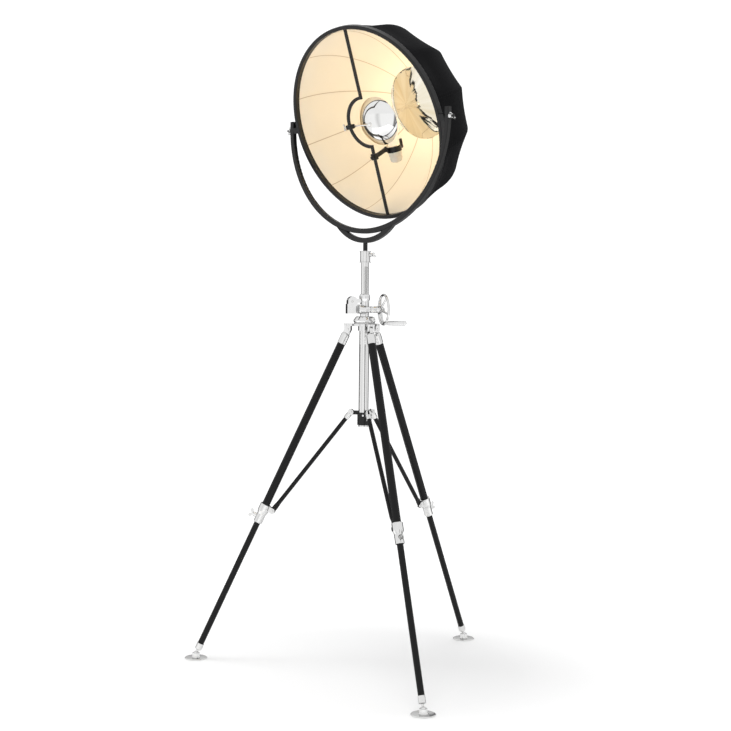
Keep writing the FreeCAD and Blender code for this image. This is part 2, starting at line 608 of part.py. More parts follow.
def brake_block():
    half = BLOCK_THICK / 2
    centre_x = -(BLOCK_FAR - BLOCK_ARCH_R)
    base = slab((-BLOCK_FAR - 2.5, -half, BLOCK_BOTTOM), (-BLOCK_NEAR, half, BLOCK_BOTTOM + 30))
    arch = cylinder(BLOCK_ARCH_R, -half, half, Vector(centre_x, 0, BLOCK_ARCH_HEIGHT), Y)
    neck = slab((centre_x - BLOCK_ARCH_R, -half, BLOCK_BOTTOM + 20),
                (centre_x + BLOCK_ARCH_R, half, BLOCK_ARCH_HEIGHT))
    bridge = slab((centre_x, -half * 0.6, BLOCK_ARCH_HEIGHT - 4),
                  (-BLOCK_NEAR + 2, half * 0.6, BLOCK_ARCH_HEIGHT + 8))
    block = fuse(base, arch, neck, bridge)
    return about_z(block, SHAFT_BEARING)


def crown_fasteners():
    """The three leg pins and the screw through the brake block."""
    pins = [about_z(leg_pin(), bearing) for bearing in LEG_BEARINGS.values()]
    along = radial(SHAFT_BEARING)
    across = radial(SHAFT_BEARING - 90)
    screw_at = Vector(0, 0, BLOCK_ARCH_HEIGHT) - along * (BLOCK_FAR - BLOCK_ARCH_R)
    half = BLOCK_THICK / 2
    screw = fuse(cylinder(BLOCK_SCREW_R, -half - 2, half, screw_at, across),
                 cylinder(BLOCK_SCREW_R + 1.6, half, half + 1.6, screw_at, across),
                 cylinder(BLOCK_SCREW_R + 2.2, -half - 4, -half, screw_at, across))
    socket = cylinder(1.5, half + 0.4, half + 3, screw_at, across)
    return Part.makeCompound(pins + [screw.cut(socket)])


def rack_column():
    """The inner tube, with rack teeth cut into the side that faces the pinion."""
    tube = cylinder(COLUMN_R, COLUMN_BOTTOM, COLUMN_TOP)
    tube = tube.cut(cylinder(COLUMN_BORE_R, COLUMN_BOTTOM - 1, COLUMN_TOP + 1))
    pitch = math.pi * MODULE
    slope = math.tan(math.radians(PRESSURE_ANGLE))
    pitch_line = RACK_TIP - MODULE
    root = pitch_line - 1.25 * MODULE
    outside = COLUMN_R + 1
    half_gap = pitch / 4 + BACKLASH / 2
    below = int((SHAFT_HEIGHT - RACK_BOTTOM) / pitch)
    above = int((RACK_TOP - SHAFT_HEIGHT) / pitch)
    comb = []
    for index in range(-below, above + 1):
        z = SHAFT_HEIGHT + index * pitch
        at_root = half_gap - (pitch_line - root) * slope
        at_tip = half_gap + MODULE * slope
        comb += [(RACK_TIP, z - at_tip), (root, z - at_root), (root, z + at_root), (RACK_TIP, z + at_tip)]
    outline = [(outside, comb[0][1])] + comb + [(outside, comb[-1][1])]
    points = [Vector(x, -COLUMN_R, z) for x, z in outline]
    cutter = Part.Face(Part.makePolygon(points + points[:1])).extrude(Y * 2 * COLUMN_R)
    return tube.cut(about_z(cutter, SHAFT_BEARING - 90))


def pinion_blank():
    """Pinion outline from involute flanks, one tooth pointing to -X."""
    base_r = PITCH_R * math.cos(math.radians(PRESSURE_ANGLE))
    slope = math.tan(math.radians(PRESSURE_ANGLE))

    def unwound(radius):
        roll = math.sqrt((radius / base_r) ** 2 - 1)
        return roll - math.atan(roll)

    thick = MODULE * (math.pi / 2 + 2 * PROFILE_SHIFT * slope) - BACKLASH
    half_tooth = thick / 2 / PITCH_R + unwound(PITCH_R)
    steps = 5
    edges = []
    pitch_angle = 2 * math.pi / PINION_TEETH
    first = None
    last = None
    for tooth in range(PINION_TEETH):
        centre = math.pi + tooth * pitch_angle
        radii = [base_r + (PINION_TIP_R - base_r) * k / (steps - 1) for k in range(steps)]
        rising = [polar(r, centre - half_tooth + unwound(r)) for r in radii]
        falling = [polar(r, centre + half_tooth - unwound(r)) for r in reversed(radii)]
        root_in = polar(PINION_ROOT_R, centre - half_tooth)
        root_out = polar(PINION_ROOT_R, centre + half_tooth)
        if last is None:
            first = root_in
        else:
            middle = polar(PINION_ROOT_R, centre - pitch_angle / 2)
            edges.append(Part.Arc(last, middle, root_in).toShape())
        edges.append(Part.makeLine(root_in, rising[0]))
        edges.append(flank(rising))
        edges.append(Part.Arc(rising[-1], polar(PINION_TIP_R, centre), falling[0]).toShape())
        edges.append(flank(falling))
        edges.append(Part.makeLine(falling[-1], root_out))
        last = root_out
    closing = polar(PINION_ROOT_R, math.pi - pitch_angle / 2)
    edges.append(Part.Arc(last, closing, first).toShape())
    return Part.Face(Part.Wire(edges))


def polar(radius, angle):
    return Vector(radius * math.cos(angle), radius * math.sin(angle), 0)


def flank(points):
    curve = Part.BSplineCurve()
    curve.interpolate(points)
    return curve.toShape()


def pinion_shaft():
    """Shaft with its pinion, and the collar that stands against the barrel."""
    gear = pinion_blank().extrude(Z * PINION_WIDTH).translated(Z * (-PINION_WIDTH / 2))
    start = BARREL_RIGHT + GAP
    end = start + SHAFT_COLLAR
    collar = turned([(0, start), (SHAFT_COLLAR_R - 1, start), (SHAFT_COLLAR_R, start + 1),
                     (SHAFT_COLLAR_R - 1.2, start + SHAFT_COLLAR / 2), (SHAFT_COLLAR_R, end - 1),
                     (SHAFT_COLLAR_R - 1, end), (0, end)])
    shaft = cylinder(SHAFT_R, -SHAFT_INNER_END + 1, WHEEL_AT - 3)
    return on_shaft(fuse(gear, collar, shaft))


def hand_wheel():
    """Spoked wheel, dished towards the column, with the spindle of the grip and the hub nut."""
    hub_start = BARREL_RIGHT + GAP + SHAFT_COLLAR
    hub = turned([(0, hub_start), (HUB_R, hub_start), (HUB_R + 1.5, hub_start + 4),
                  (HUB_R + 1.5, WHEEL_AT - 6), (HUB_R - 2, WHEEL_AT - 2), (0, WHEEL_AT - 2)])
    rim = Part.makeTorus(WHEEL_R, WHEEL_RIM_R, Vector(0, 0, WHEEL_AT), Z)
    spokes = []
    for index in range(SPOKES):
        inner = Vector(HUB_R - 2, 0, WHEEL_AT - 9)
        outer = Vector(WHEEL_R, 0, WHEEL_AT)
        run = outer - inner
        arm = Part.makeCone(3.6, 2.6, run.Length, inner, run)
        spokes.append(about_z(arm, 90 + index * 360.0 / SPOKES))
    grip_at = polar(WHEEL_R, math.radians(90 - GRIP_ANGLE))
    boss = cylinder(5.5, WHEEL_AT - 5, WHEEL_AT + 5, grip_at)
    spindle = cylinder(GRIP_SPINDLE_R, WHEEL_AT, WHEEL_AT + 6 + GRIP_LENGTH - 8, grip_at)
    body = fuse(hub, rim, boss, spindle, *spokes)
    body = body.cut(cylinder(SHAFT_R, hub_start - 1, WHEEL_AT - 3))
    nut = turned([(0, WHEEL_AT - 2), (5.5, WHEEL_AT - 2), (5.5, WHEEL_AT + 1), (3.5, WHEEL_AT + 3),
                  (0, WHEEL_AT + 3)])
    return Part.makeCompound([on_shaft(body), on_shaft(nut)])


def crank_grip():
    start = WHEEL_AT + 5 + GAP
    end = start + GRIP_LENGTH
    outline = [(0, start), (5.6, start), (6.2, start + 3), (GRIP_R, start + 22), (GRIP_R, end - 13),
               (GRIP_R - 0.5, end - 12.4), (GRIP_R - 0.5, end - 11.6), (GRIP_R, end - 11), (GRIP_R, end - 5),
               (GRIP_R - 1.4, end - 1.6), (GRIP_R - 4, end), (0, end)]
    grip = turned(outline).cut(cylinder(GRIP_SPINDLE_R + RUN, start - 1, end - 5))
    return on_shaft(grip.translated(polar(WHEEL_R, math.radians(90 - GRIP_ANGLE))))


def top_collar():
    bottom, top = TOP_COLLAR_BOTTOM, TOP_COLLAR_TOP
    rim = 2.2
    body = turned([(0, bottom), (TOP_COLLAR_RIM_R, bottom), (TOP_COLLAR_RIM_R, bottom + rim),
                   (TOP_COLLAR_R, bottom + rim + 0.6), (TOP_COLLAR_R, top - rim - 0.6),
                   (TOP_COLLAR_RIM_R, top - rim), (TOP_COLLAR_RIM_R, top), (0, top)])
    at = Vector(0, 0, TOP_SCREW_HEIGHT)
    boss = cylinder(5.2, 10, TOP_COLLAR_RIM_R + 1.6, at, radial(TOP_SCREW_BEARING))
    body = fuse(body, boss)
    body = body.cut(cylinder(COLUMN_R, bottom - 1, COLUMN_TOP))
    body = body.cut(cylinder(STEM_R + RUN, COLUMN_TOP - 1, top + 1))
    passage = cylinder(THUMB_SCREW_R + RUN, STEM_R - 1, TOP_COLLAR_RIM_R + 3, at, radial(TOP_SCREW_BEARING))
    return body.cut(passage)


def collar_screw():
    screw = wing_screw(THUMB_SCREW_R, STEM_R + GAP, TOP_COLLAR_RIM_R + 1.6 + GAP)
    screw.rotate(ORIGIN, Z, 90)
    return aimed(screw, Vector(0, 0, TOP_SCREW_HEIGHT), radial(TOP_SCREW_BEARING))


# ---------------------------------------------------------------- yoke

def rounded_rectangle(width, height, corner):
    """A closed wire in the XY plane, centred on the origin."""
    half_w, half_h = width / 2, height / 2
    edges = []
    quarter = corner * (1 - math.sqrt(0.5))
    sides = [(1, 1), (-1, 1), (-1, -1), (1, -1)]
    starts = []
    for sx, sy in sides:
        on_x = Vector(sx * half_w, sy * (half_h - corner), 0)
        on_y = Vector(sx * (half_w - corner), sy * half_h, 0)
        middle = Vector(sx * (half_w - quarter), sy * (half_h - quarter), 0)
        first, second = (on_x, on_y) if sx * sy > 0 else (on_y, on_x)
        starts.append((first, second))
        edges.append(Part.Arc(first, middle, second).toShape())
    for index, (unused, end) in enumerate(starts):
        edges.append(Part.makeLine(end, starts[(index + 1) % 4][0]))
    return Part.Wire(Part.__sortEdges__(edges))


def arc_bar(radius, section, corner, start, sweep, centre):
    """A bar of rounded square section bent round Y, from the angle start through sweep degrees."""
    wire = rounded_rectangle(section, section, corner).translated(X * radius)
    face = Part.Face(wire)
    bar = face.revolve(ORIGIN, Y, sweep)
    bar.rotate(ORIGIN, Y, start)
    return bar.translated(centre)


def yoke_bow():
    """Half circle of square bar, with straight ends above the tilt axis."""
    centre = Vector(0, 0, AXIS_HEIGHT)
    arc = arc_bar(YOKE_R, YOKE_SECTION, YOKE_CORNER_R, 0, 180, centre)
    ends = []
    for side in (-1, 1):
        face = Part.Face(rounded_rectangle(YOKE_SECTION, YOKE_SECTION, YOKE_CORNER_R))
        end = face.extrude(Z * YOKE_END_RISE)
        ends.append(end.translated(Vector(side * YOKE_R, 0, AXIS_HEIGHT)))
    bow = fuse(arc, *ends)
    return bow.cut(cylinder(STUD_R + RUN, -STUD_END, STUD_END, centre, X))


def yoke_bracket():
    """The short arc under the bow and the stem that stands in the top collar."""
    rise = BRACKET_DROP - math.sqrt(YOKE_R ** 2 - BRACKET_HALF_SPAN ** 2)
    radius = (BRACKET_HALF_SPAN ** 2 + rise ** 2) / (2 * rise)
    half_sweep = math.degrees(math.asin(BRACKET_HALF_SPAN / radius)) + 4
    centre = Vector(0, 0, AXIS_HEIGHT - BRACKET_DROP + radius)
    arc = arc_bar(radius, YOKE_SECTION, YOKE_CORNER_R, 90 - half_sweep, 2 * half_sweep, centre)
    room = cylinder(YOKE_R + YOKE_SECTION / 2, -YOKE_SECTION, YOKE_SECTION, Vector(0, 0, AXIS_HEIGHT), Y)
    stem = cylinder(STEM_R, STEM_BOTTOM, AXIS_HEIGHT - BRACKET_DROP)
    return fuse(arc.cut(room), stem)


# ---------------------------------------------------------------- head

def on_head(shape):
    """Places a shape drawn in the head's frame: tilted down and up on the yoke's axis."""
    body = shape.copy()
    body.rotate(ORIGIN, X, TILT_DOWN)
    body.translate(Vector(0, 0, AXIS_HEIGHT))
    return body


def pivot_blocks():
    """The block and threaded stud at each side, fixed to the ring."""
    block_end = YOKE_R - YOKE_SECTION / 2 - 2 * GAP
    half = PIVOT_BLOCK / 2
    solids = []
    for side in (-1, 1):
        start, end = sorted((side * (RING_OUTER_R - 4), side * block_end))
        block = slab((start, -half, -half), (end, half, half))
        block = block.cut(cylinder(RING_OUTER_R, -half - 1, half + 1, ORIGIN, Y))
        stud = cylinder(STUD_R, block_end - 4, STUD_END, ORIGIN, X * side)
        solids.append(fuse(block, stud))
    return Part.makeCompound(solids)


def wing_nut(side):
    start = YOKE_R + YOKE_SECTION / 2 + GAP
    hub = cone(8, 6, 0, 9)
    body = fuse(hub, *wings(10, 9, 2.6, 4.8, 6))
    body = body.cut(cylinder(STUD_R + RUN, -1, 20))
    body.rotate(ORIGIN, Z, 35)
    return aimed(body, X * side * start, X * side)


def rim_ring():
    width = RING_OUTER_R - RING_INNER_R
    wire = rounded_rectangle(width, RING_DEPTH, 2.5).translated(X * (RING_INNER_R + width / 2))
    ring = Part.Face(wire).revolve(ORIGIN, Y, 360)
    return Part.makeSolid(ring) if ring.ShapeType == "Shell" else ring


def meridian(radius, depth, power, hole, steps=9):
    """Points (radius, depth) of an umbrella profile from the rim's back face to the hole."""
    start = RING_DEPTH / 2
    last = math.acos((hole / radius) ** (power / 2))
    points = []
    for index in range(steps):
        turn = last * index / (steps - 1)
        across = radius * math.cos(turn) ** (2 / power)
        back = start + (depth - start) * math.sin(turn) ** (2 / power)
        points.append((across, back))
    return points


def umbrella_depth(radius, depth, power, reach):
    """How far back an umbrella profile is, at a distance from its axis."""
    start = RING_DEPTH / 2
    return start + (depth - start) * (1 - (reach / radius) ** power) ** (1 / power)


def hub_front():
    """Front face of the hub's spool, just behind the lining's edge, to a hundredth."""
    return round(umbrella_depth(LINING_R, LINING_DEPTH, LINING_POWER, HUB_HOLE_R) + GAP, 2)


def rib_direction(index):
    """Direction of a rib in the rim's plane."""
    angle = math.radians(GORE_PHASE + index * 360.0 / GORES)
    return Vector(math.cos(angle), 0, math.sin(angle))


def gore_shell(outer, inner):
    """A closed skin of flat panels between ribs, from two meridians of equal length."""
    faces = []
    for index in range(GORES):
        near, far = rib_direction(index), rib_direction(index + 1)
        for skin in (outer, inner):
            for (r0, y0), (r1, y1) in zip(skin, skin[1:]):
                corners = [near * r0 + Y * y0, far * r0 + Y * y0, far * r1 + Y * y1, near * r1 + Y * y1]
                faces.append(Part.Face(Part.makePolygon(corners + corners[:1])))
        for end in (0, -1):
            (r0, y0), (r1, y1) = outer[end], inner[end]
            corners = [near * r0 + Y * y0, far * r0 + Y * y0, far * r1 + Y * y1, near * r1 + Y * y1]
            faces.append(Part.Face(Part.makePolygon(corners + corners[:1])))
    shell = Part.makeShell(faces)
    shell.sewShape()
    solid = Part.makeSolid(shell)
    if solid.Volume < 0:
        solid.reverse()
    return solid


def cloth(radius, depth, power, thick):
    outer = meridian(radius, depth, power, HUB_HOLE_R)
    inner = meridian(radius - thick, depth - thick, power, HUB_HOLE_R)
    return gore_shell(outer, inner)


def shade_cover():
    return cloth(COVER_R, COVER_DEPTH, COVER_POWER, COVER_THICK)


def shade_lining():
    return cloth(LINING_R, LINING_DEPTH, LINING_POWER, LINING_THICK)


def rib_frame():
    """Twelve flat ribs, and the spool at the apex that holds them and the cloth."""
    outside = meridian(RIB_R, RIB_DEPTH, COVER_POWER, HUB_HOLE_R - 4)
    inside = meridian(RIB_R - RIB_HEIGHT, RIB_DEPTH - RIB_HEIGHT, COVER_POWER, HUB_HOLE_R - 4)
    outline = [Vector(r, y, 0) for r, y in outside + inside[::-1]]
    blade = Part.Face(Part.makePolygon(outline + outline[:1])).extrude(Z * RIB_THICK)
    blade.translate(Z * (-RIB_THICK / 2))
    blade = blade.cut(cylinder(HUB_DISC_R, 0, COVER_DEPTH + 10, ORIGIN, Y))
    ribs = []
    for index in range(GORES):
        rib = blade.copy()
        rib.rotate(ORIGIN, Y, -(GORE_PHASE + index * 360.0 / GORES))
        ribs.append(rib)
    cap_back = CAP_FRONT + CAP_THICK
    outline = [(0, hub_front()), (HUB_DISC_R, hub_front()), (HUB_DISC_R, HUB_BACK), (HUB_STEM_R, HUB_BACK),
               (HUB_STEM_R, CAP_FRONT), (CAP_R, CAP_FRONT), (CAP_R, CAP_FRONT + 1), (CAP_R - 2, cap_back),
               (12, cap_back), (10, cap_back + 5), (6, cap_back + 7), (0, cap_back + 7)]
    spool = turned(outline, ORIGIN, Y)
    return Part.makeCompound([spool] + ribs)


def dished(radius, crown_y, depth, thick):
    """A thin spun dish, convex to -Y: its crown at crown_y and its rim depth further back."""
    sphere_r = (radius ** 2 + depth ** 2) / (2 * depth)
    centre = Vector(0, crown_y + sphere_r, 0)
    outside = Part.makeSphere(sphere_r, centre)
    inside = Part.makeSphere(sphere_r - thick, centre)
    keep = cylinder(radius + 1, crown_y - 1, crown_y + depth, ORIGIN, Y)
    return outside.common(keep).cut(inside)


def lining_depth(radius):
    """How far back the middle of a lining panel is, at a distance from the shade's axis."""
    return umbrella_depth(LINING_R * math.cos(math.pi / GORES), LINING_DEPTH, LINING_POWER, radius)


def apex_reflector():
    """Shallow polished dish in front of the lining, with its post to the hub."""
    crown_y = lining_depth(DISH_R + DISH_ROOM) - DISH_CROWN
    dish = dished(DISH_R, crown_y, DISH_CROWN, DISH_THICK)
    post = cylinder(DISH_POST_R, crown_y + DISH_THICK / 2, hub_front(), ORIGIN, Y)
    button = turned([(0, 0), (7, 0), (6, -2), (3, -3), (0, -3)], Y * (crown_y + 0.4), Y)
    return fuse(dish, post, button)


# ---------------------------------------------------------------- bar, bowl and lamp

def bar_stretch(low, high):
    return slab((-BAR_WIDTH / 2, -BAR_THICK / 2, low), (BAR_WIDTH / 2, BAR_THICK / 2, high))


def front_bar():
    """Flat bar across the rim, with a half-round bend that clears the bowl."""
    reach = math.sqrt(BEND_R ** 2 - BEND_X ** 2)
    half = BAR_WIDTH / 2
    centre = Vector(BEND_X, 0, BEND_Z)
    disc = cylinder(BEND_R + half, -BAR_THICK / 2, BAR_THICK / 2, centre, Y)
    bend = disc.cut(cylinder(BEND_R - half, -BAR_THICK, BAR_THICK, centre, Y))
    bend = bend.common(slab((-2 * BEND_R, -BAR_THICK, -2 * BEND_R), (half, BAR_THICK, 2 * BEND_R)))
    top = bar_stretch(BEND_Z + reach - half, RING_OUTER_R)
    bottom = bar_stretch(-RING_OUTER_R, BEND_Z - reach + half)
    bar = fuse(bend, top, bottom)
    return bar.common(cylinder(RING_INNER_R, -BAR_THICK, BAR_THICK, ORIGIN, Y))


def rod_clamp():
    block = slab((-CLAMP_BLOCK_FAR, -BAR_THICK / 2 - 3.5, ROD_Z - 7),
                 (-CLAMP_BLOCK_NEAR, ROD_Y + 5, ROD_Z + 7))
    block = block.makeFillet(1.5, block.Edges)
    block = block.cut(front_bar())
    rod_at = Vector(0, ROD_Y, ROD_Z)
    block = block.cut(cylinder(ROD_R + RUN, -CLAMP_BLOCK_FAR - 1, CLAMP_BLOCK_FAR, rod_at, X))
    screw_at = Vector(0, 0, ROD_Z)
    return block.cut(cylinder(ROD_R + RUN, CLAMP_BLOCK_NEAR + 4, CLAMP_BLOCK_FAR + 1, screw_at, -X))


def bowl_reflector():
    """Small spun bowl, convex to the front, with its rolled rim, rod and boss."""
    bowl = dished(BOWL_R, BOWL_FRONT, BOWL_DEPTH, BOWL_THICK).translated(Z * ROD_Z)
    bead_at = Vector(0, BOWL_FRONT + BOWL_DEPTH, ROD_Z)
    bead = Part.makeTorus(BOWL_R - 0.4, BOWL_BEAD_R, bead_at, Y)
    rod_at = Vector(0, ROD_Y, ROD_Z)
    rod = cylinder(ROD_R, -CLAMP_BLOCK_FAR - 3, 0, rod_at, X)
    boss = cylinder(6, ROD_Y - ROD_R - 1, BOWL_FRONT + 0.6, Vector(0, 0, ROD_Z), Y)
    return fuse(bowl, bead, rod, boss)


def rod_screw():
    """Thumb screw with a cross bar that ends in two balls."""
    at = Vector(0, 0, ROD_Z)
    tip = BEND_R - BEND_X + BAR_WIDTH / 2 + GAP
    shank = cylinder(ROD_R, tip, ROD_SCREW_END, at, -X)
    collar = cylinder(4.2, CLAMP_BLOCK_FAR + GAP, CLAMP_BLOCK_FAR + 4, at, -X)
    bar_at = Vector(-ROD_SCREW_END, 0, ROD_Z)
    bar = cylinder(1.7, -8, 8, bar_at, Z)
    balls = [Part.makeSphere(3.4, bar_at + Z * side * 8) for side in (-1, 1)]
    return fuse(shank, collar, bar, *balls)


def lamp_arm():
    """Clamp block on the bar, strap and the two knuckles of the hinge with its pin."""
    block = slab((-9, -7, ARM_Z - 10), (9, 9, ARM_Z + 10))
    block = block.makeFillet(2, block.Edges)
    knob = turned([(0, 7), (5, 7), (5.5, 9), (5.5, 13), (4, 15), (0, 15)], Z * ARM_Z, -Y)
    half = STRAP_THICK / 2
    tall = STRAP_HEIGHT / 2
    side = [Vector(-half, 8, ARM_Z - tall), Vector(-half, HINGE_Y, HINGE_Z - tall),
            Vector(-half, HINGE_Y, HINGE_Z + tall), Vector(-half, 8, ARM_Z + tall)]
    strap = Part.Face(Part.makePolygon(side + side[:1])).extrude(X * STRAP_THICK)
    at = Vector(0, HINGE_Y, HINGE_Z)
    knuckle = cylinder(HINGE_R, -tall, tall, at)
    middle = tall - 4
    gap = cylinder(HINGE_R + 1.5, -middle, middle, at)
    arm = fuse(block, knob, strap, knuckle).cut(gap)
    arm = arm.cut(cylinder(HINGE_PIN_R, -tall - 1, tall + 1, at)).cut(front_bar())
    pin = fuse(cylinder(HINGE_PIN_R, -tall - 1, tall + 1, at),
               cylinder(HINGE_PIN_R + 1.2, tall, tall + 1.8, at),
               cylinder(HINGE_PIN_R + 1.2, -tall - 1.8, -tall, at))
    return Part.makeCompound([arm, pin])


def arm_link():
    """Strap with the band that holds the lampholder, and the eye of its screw."""
    at = Vector(0, HINGE_Y, HINGE_Z)
    middle = STRAP_HEIGHT / 2 - 4 - GAP
    lamp = Vector(0, LAMP_Y, 0)
    knuckle = cylinder(HINGE_R, -middle, middle, at)
    half = STRAP_THICK / 2
    neck = slab((-half, HINGE_Y, HINGE_Z - middle), (half, HINGE_Y + 8, HINGE_Z + middle))
    strap = slab((-half, HINGE_Y + 7, BAND_BOTTOM + 2), (half, LAMP_Y - HOLDER_R, BAND_TOP))
    band = cylinder(HOLDER_R + BAND_THICK, BAND_BOTTOM, BAND_TOP, lamp)
    eye_z = (BAND_BOTTOM + BAND_TOP) / 2
    ears = slab((-4.5, LAMP_Y + HOLDER_R, eye_z - 5), (4.5, ARM_KNOB_Y, eye_z + 7))
    eye = cylinder(4.5, eye_z - 5, eye_z + 7, Vector(0, ARM_KNOB_Y, 0))
    link = fuse(knuckle, neck, strap, band, ears, eye)
    link = link.cut(cylinder(HINGE_PIN_R + RUN, -20, 20, at))
    link = link.cut(cylinder(HOLDER_R, BAND_BOTTOM - 1, BAND_TOP + 1, lamp))
    return link.cut(cylinder(ROD_R + RUN, eye_z - 20, eye_z + 20, Vector(0, ARM_KNOB_Y, 0)))


def arm_knob():
    eye_z = (BAND_BOTTOM + BAND_TOP) / 2
    at = Vector(0, ARM_KNOB_Y, 0)
    bottom = eye_z + 7 + GAP
    shank = cylinder(ROD_R, eye_z - 8, bottom + 1, at)
    head = turned([(0, bottom), (4.6, bottom), (5, bottom + 1.5), (5, bottom + 13),
                   (3.8, bottom + 15), (0, bottom + 15)])
    return fuse(shank, head.translated(at))


def lampholder():
    """Ceramic holder, open at the top for the bulb, with its cable bush."""
    top, bottom = HOLDER_TOP, HOLDER_BOTTOM
    body = turned([(0, bottom), (14, bottom), (18, bottom + 3), (20, bottom + 12), (20, bottom + 16),
                   (19, bottom + 17.5), (20.5, bottom + 19), (HOLDER_R, bottom + 24), (HOLDER_R, BAND_BOTTOM),
                   (HOLDER_R, top - 1.5), (HOLDER_R - 1.5, top), (0, top)])
    body = body.cut(cylinder(BULB_CAP_R + 0.9, BULB_CAP_BOTTOM, top + 1))
    bush = cylinder(4.5, bottom - 4, bottom + 1)
    body = fuse(body, bush).cut(cylinder(2.6, bottom - 5, bottom + 8))
    return body.translated(Y * LAMP_Y)


def bulb_cap():
    low = BULB_CAP_BOTTOM
    body = turned([(0, low), (5, low), (6, low + 3), (BULB_CAP_R - 1, low + 5), (BULB_CAP_R, low + 7),
                   (BULB_CAP_R, low + 29), (0, low + 29)])
    return body.translated(Y * LAMP_Y)


def bulb_glass():
    """Pear-shaped envelope from the cap's rim to a round top."""
    foot = BULB_CAP_BOTTOM + 29
    foot_r = BULB_CAP_R - 0.3
    neck = Vector(17, 0, foot + 18)
    shoulder_angle = math.radians(-38)
    shoulder = Vector(BULB_R * math.cos(shoulder_angle), 0, BULB_CENTRE_Z + BULB_R * math.sin(shoulder_angle))
    top = Vector(0, 0, BULB_CENTRE_Z + BULB_R)
    side = Vector(BULB_R, 0, BULB_CENTRE_Z)
    foot_out = Vector(foot_r, 0, foot)
    flare = Part.BSplineCurve()
    flare.interpolate([foot_out, neck, shoulder])
    edges = [Part.makeLine(Vector(0, 0, foot), foot_out), flare.toShape(),
             Part.Arc(shoulder, side, top).toShape(), Part.makeLine(top, Vector(0, 0, foot))]
    body = Part.Face(Part.Wire(edges)).revolve(ORIGIN, Z, 360)
    return body.translated(Y * LAMP_Y)


# ---------------------------------------------------------------- export

def nodes():
    """Every node by name, in place."""
    made = {
        "crown": crown(), "crown_fasteners": crown_fasteners(), "outer_tube": outer_tube(),
        "gear_housing": gear_housing(), "lock_knob": lock_knob(), "rack_column": rack_column(),
        "pinion_shaft": pinion_shaft(), "hand_wheel": hand_wheel(), "crank_grip": crank_grip(),
        "top_collar": top_collar(), "collar_screw": collar_screw(), "spreader_collar": spreader_collar(),
        "spreader_pins": spreader_pins(), "yoke_bow": yoke_bow(), "yoke_bracket": yoke_bracket(),
    }
    leg_pieces = {"leg_knuckle": leg_knuckle(), "leg_tube": leg_tube(), "leg_clamp": leg_clamp(),
                  "clamp_screw": clamp_screw(), "lower_leg": lower_leg(), "foot_ferrule": foot_ferrule()}
    strut_pieces = {"strut": strut(), "strut_knuckle": strut_knuckle()}
    foot = foot_disc()
    for letter, bearing in LEG_BEARINGS.items():
        for name, shape in leg_pieces.items():
            made[name + "_" + letter] = on_leg(shape, bearing)
        for name, shape in strut_pieces.items():
            made[name + "_" + letter] = on_strut(shape, bearing)
        made["foot_disc_" + letter] = about_z(foot, bearing)
    head = {
        "pivot_blocks": pivot_blocks(), "wing_nut_left": wing_nut(-1), "wing_nut_right": wing_nut(1),
        "rim_ring": rim_ring(), "rib_frame": rib_frame(), "shade_cover": shade_cover(),
        "shade_lining": shade_lining(), "apex_reflector": apex_reflector(), "front_bar": front_bar(),
        "rod_clamp": rod_clamp(), "bowl_reflector": bowl_reflector(), "rod_screw": rod_screw(),
        "lamp_arm": lamp_arm(), "arm_link": arm_link(), "arm_knob": arm_knob(),
        "lampholder": lampholder(), "bulb_cap": bulb_cap(), "bulb_glass": bulb_glass(),
    }
    made.update({name: on_head(shape) for name, shape in head.items()})
    return made


def main():
    os.makedirs("parts", exist_ok=True)
    for name, shape in nodes().items():
        if not shape.isValid() or not shape.Solids:
            raise ValueError(name + " is not a valid solid")
        for solid in shape.Solids:
            if solid.Volume <= 0:
                raise ValueError(name + " has a solid turned inside out")
        shape.exportStep("parts/" + name + ".step")
        print(name, len(shape.Solids), round(shape.Volume))


main()
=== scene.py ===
import json
import math

import bmesh
import bpy
from bpy.props import FloatProperty, FloatVectorProperty, IntProperty, PointerProperty
from mathutils import Matrix, Vector


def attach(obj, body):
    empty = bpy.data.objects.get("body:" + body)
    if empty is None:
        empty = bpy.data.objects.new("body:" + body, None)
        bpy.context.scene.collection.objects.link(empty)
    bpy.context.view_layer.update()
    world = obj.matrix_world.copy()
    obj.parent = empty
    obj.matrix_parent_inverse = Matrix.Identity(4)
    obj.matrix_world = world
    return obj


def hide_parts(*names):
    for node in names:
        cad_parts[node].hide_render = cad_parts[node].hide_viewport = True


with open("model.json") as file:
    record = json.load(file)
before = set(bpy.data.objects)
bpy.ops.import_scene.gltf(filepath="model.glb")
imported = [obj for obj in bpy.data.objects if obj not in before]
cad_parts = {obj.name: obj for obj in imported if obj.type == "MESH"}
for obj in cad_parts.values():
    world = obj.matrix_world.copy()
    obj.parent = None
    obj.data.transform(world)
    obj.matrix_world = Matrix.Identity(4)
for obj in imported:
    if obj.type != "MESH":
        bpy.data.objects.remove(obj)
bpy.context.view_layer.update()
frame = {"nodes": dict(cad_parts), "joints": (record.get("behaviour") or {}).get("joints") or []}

bl_info = {
    "name": "Tripod floor lamp",
    "version": (1, 0, 0),
    "blender": (4, 5, 0),
    "location": "3D View > Sidebar > Floor lamp",
    "description": "Cloth, reflectors, fittings and finishes of a floor lamp on a geared tripod",
    "category": "Object",
}

# ---------------------------------------------------------------- places read from the frame

LEGS = ("a", "b", "c")
JOINTS = {joint["name"]: joint for joint in frame["joints"]}
AXIS_HEIGHT = JOINTS["head_tilt"]["pos_m"][2]
RIM_UP = Vector(JOINTS["lamp_swing"]["axis"])
# Placement of the shade's own frame: on the tilt axis and leaning with the rim
HEAD = Matrix.Translation((0, 0, AXIS_HEIGHT)) @ Matrix.Rotation(math.atan2(-RIM_UP.y, RIM_UP.z), 4, "X")


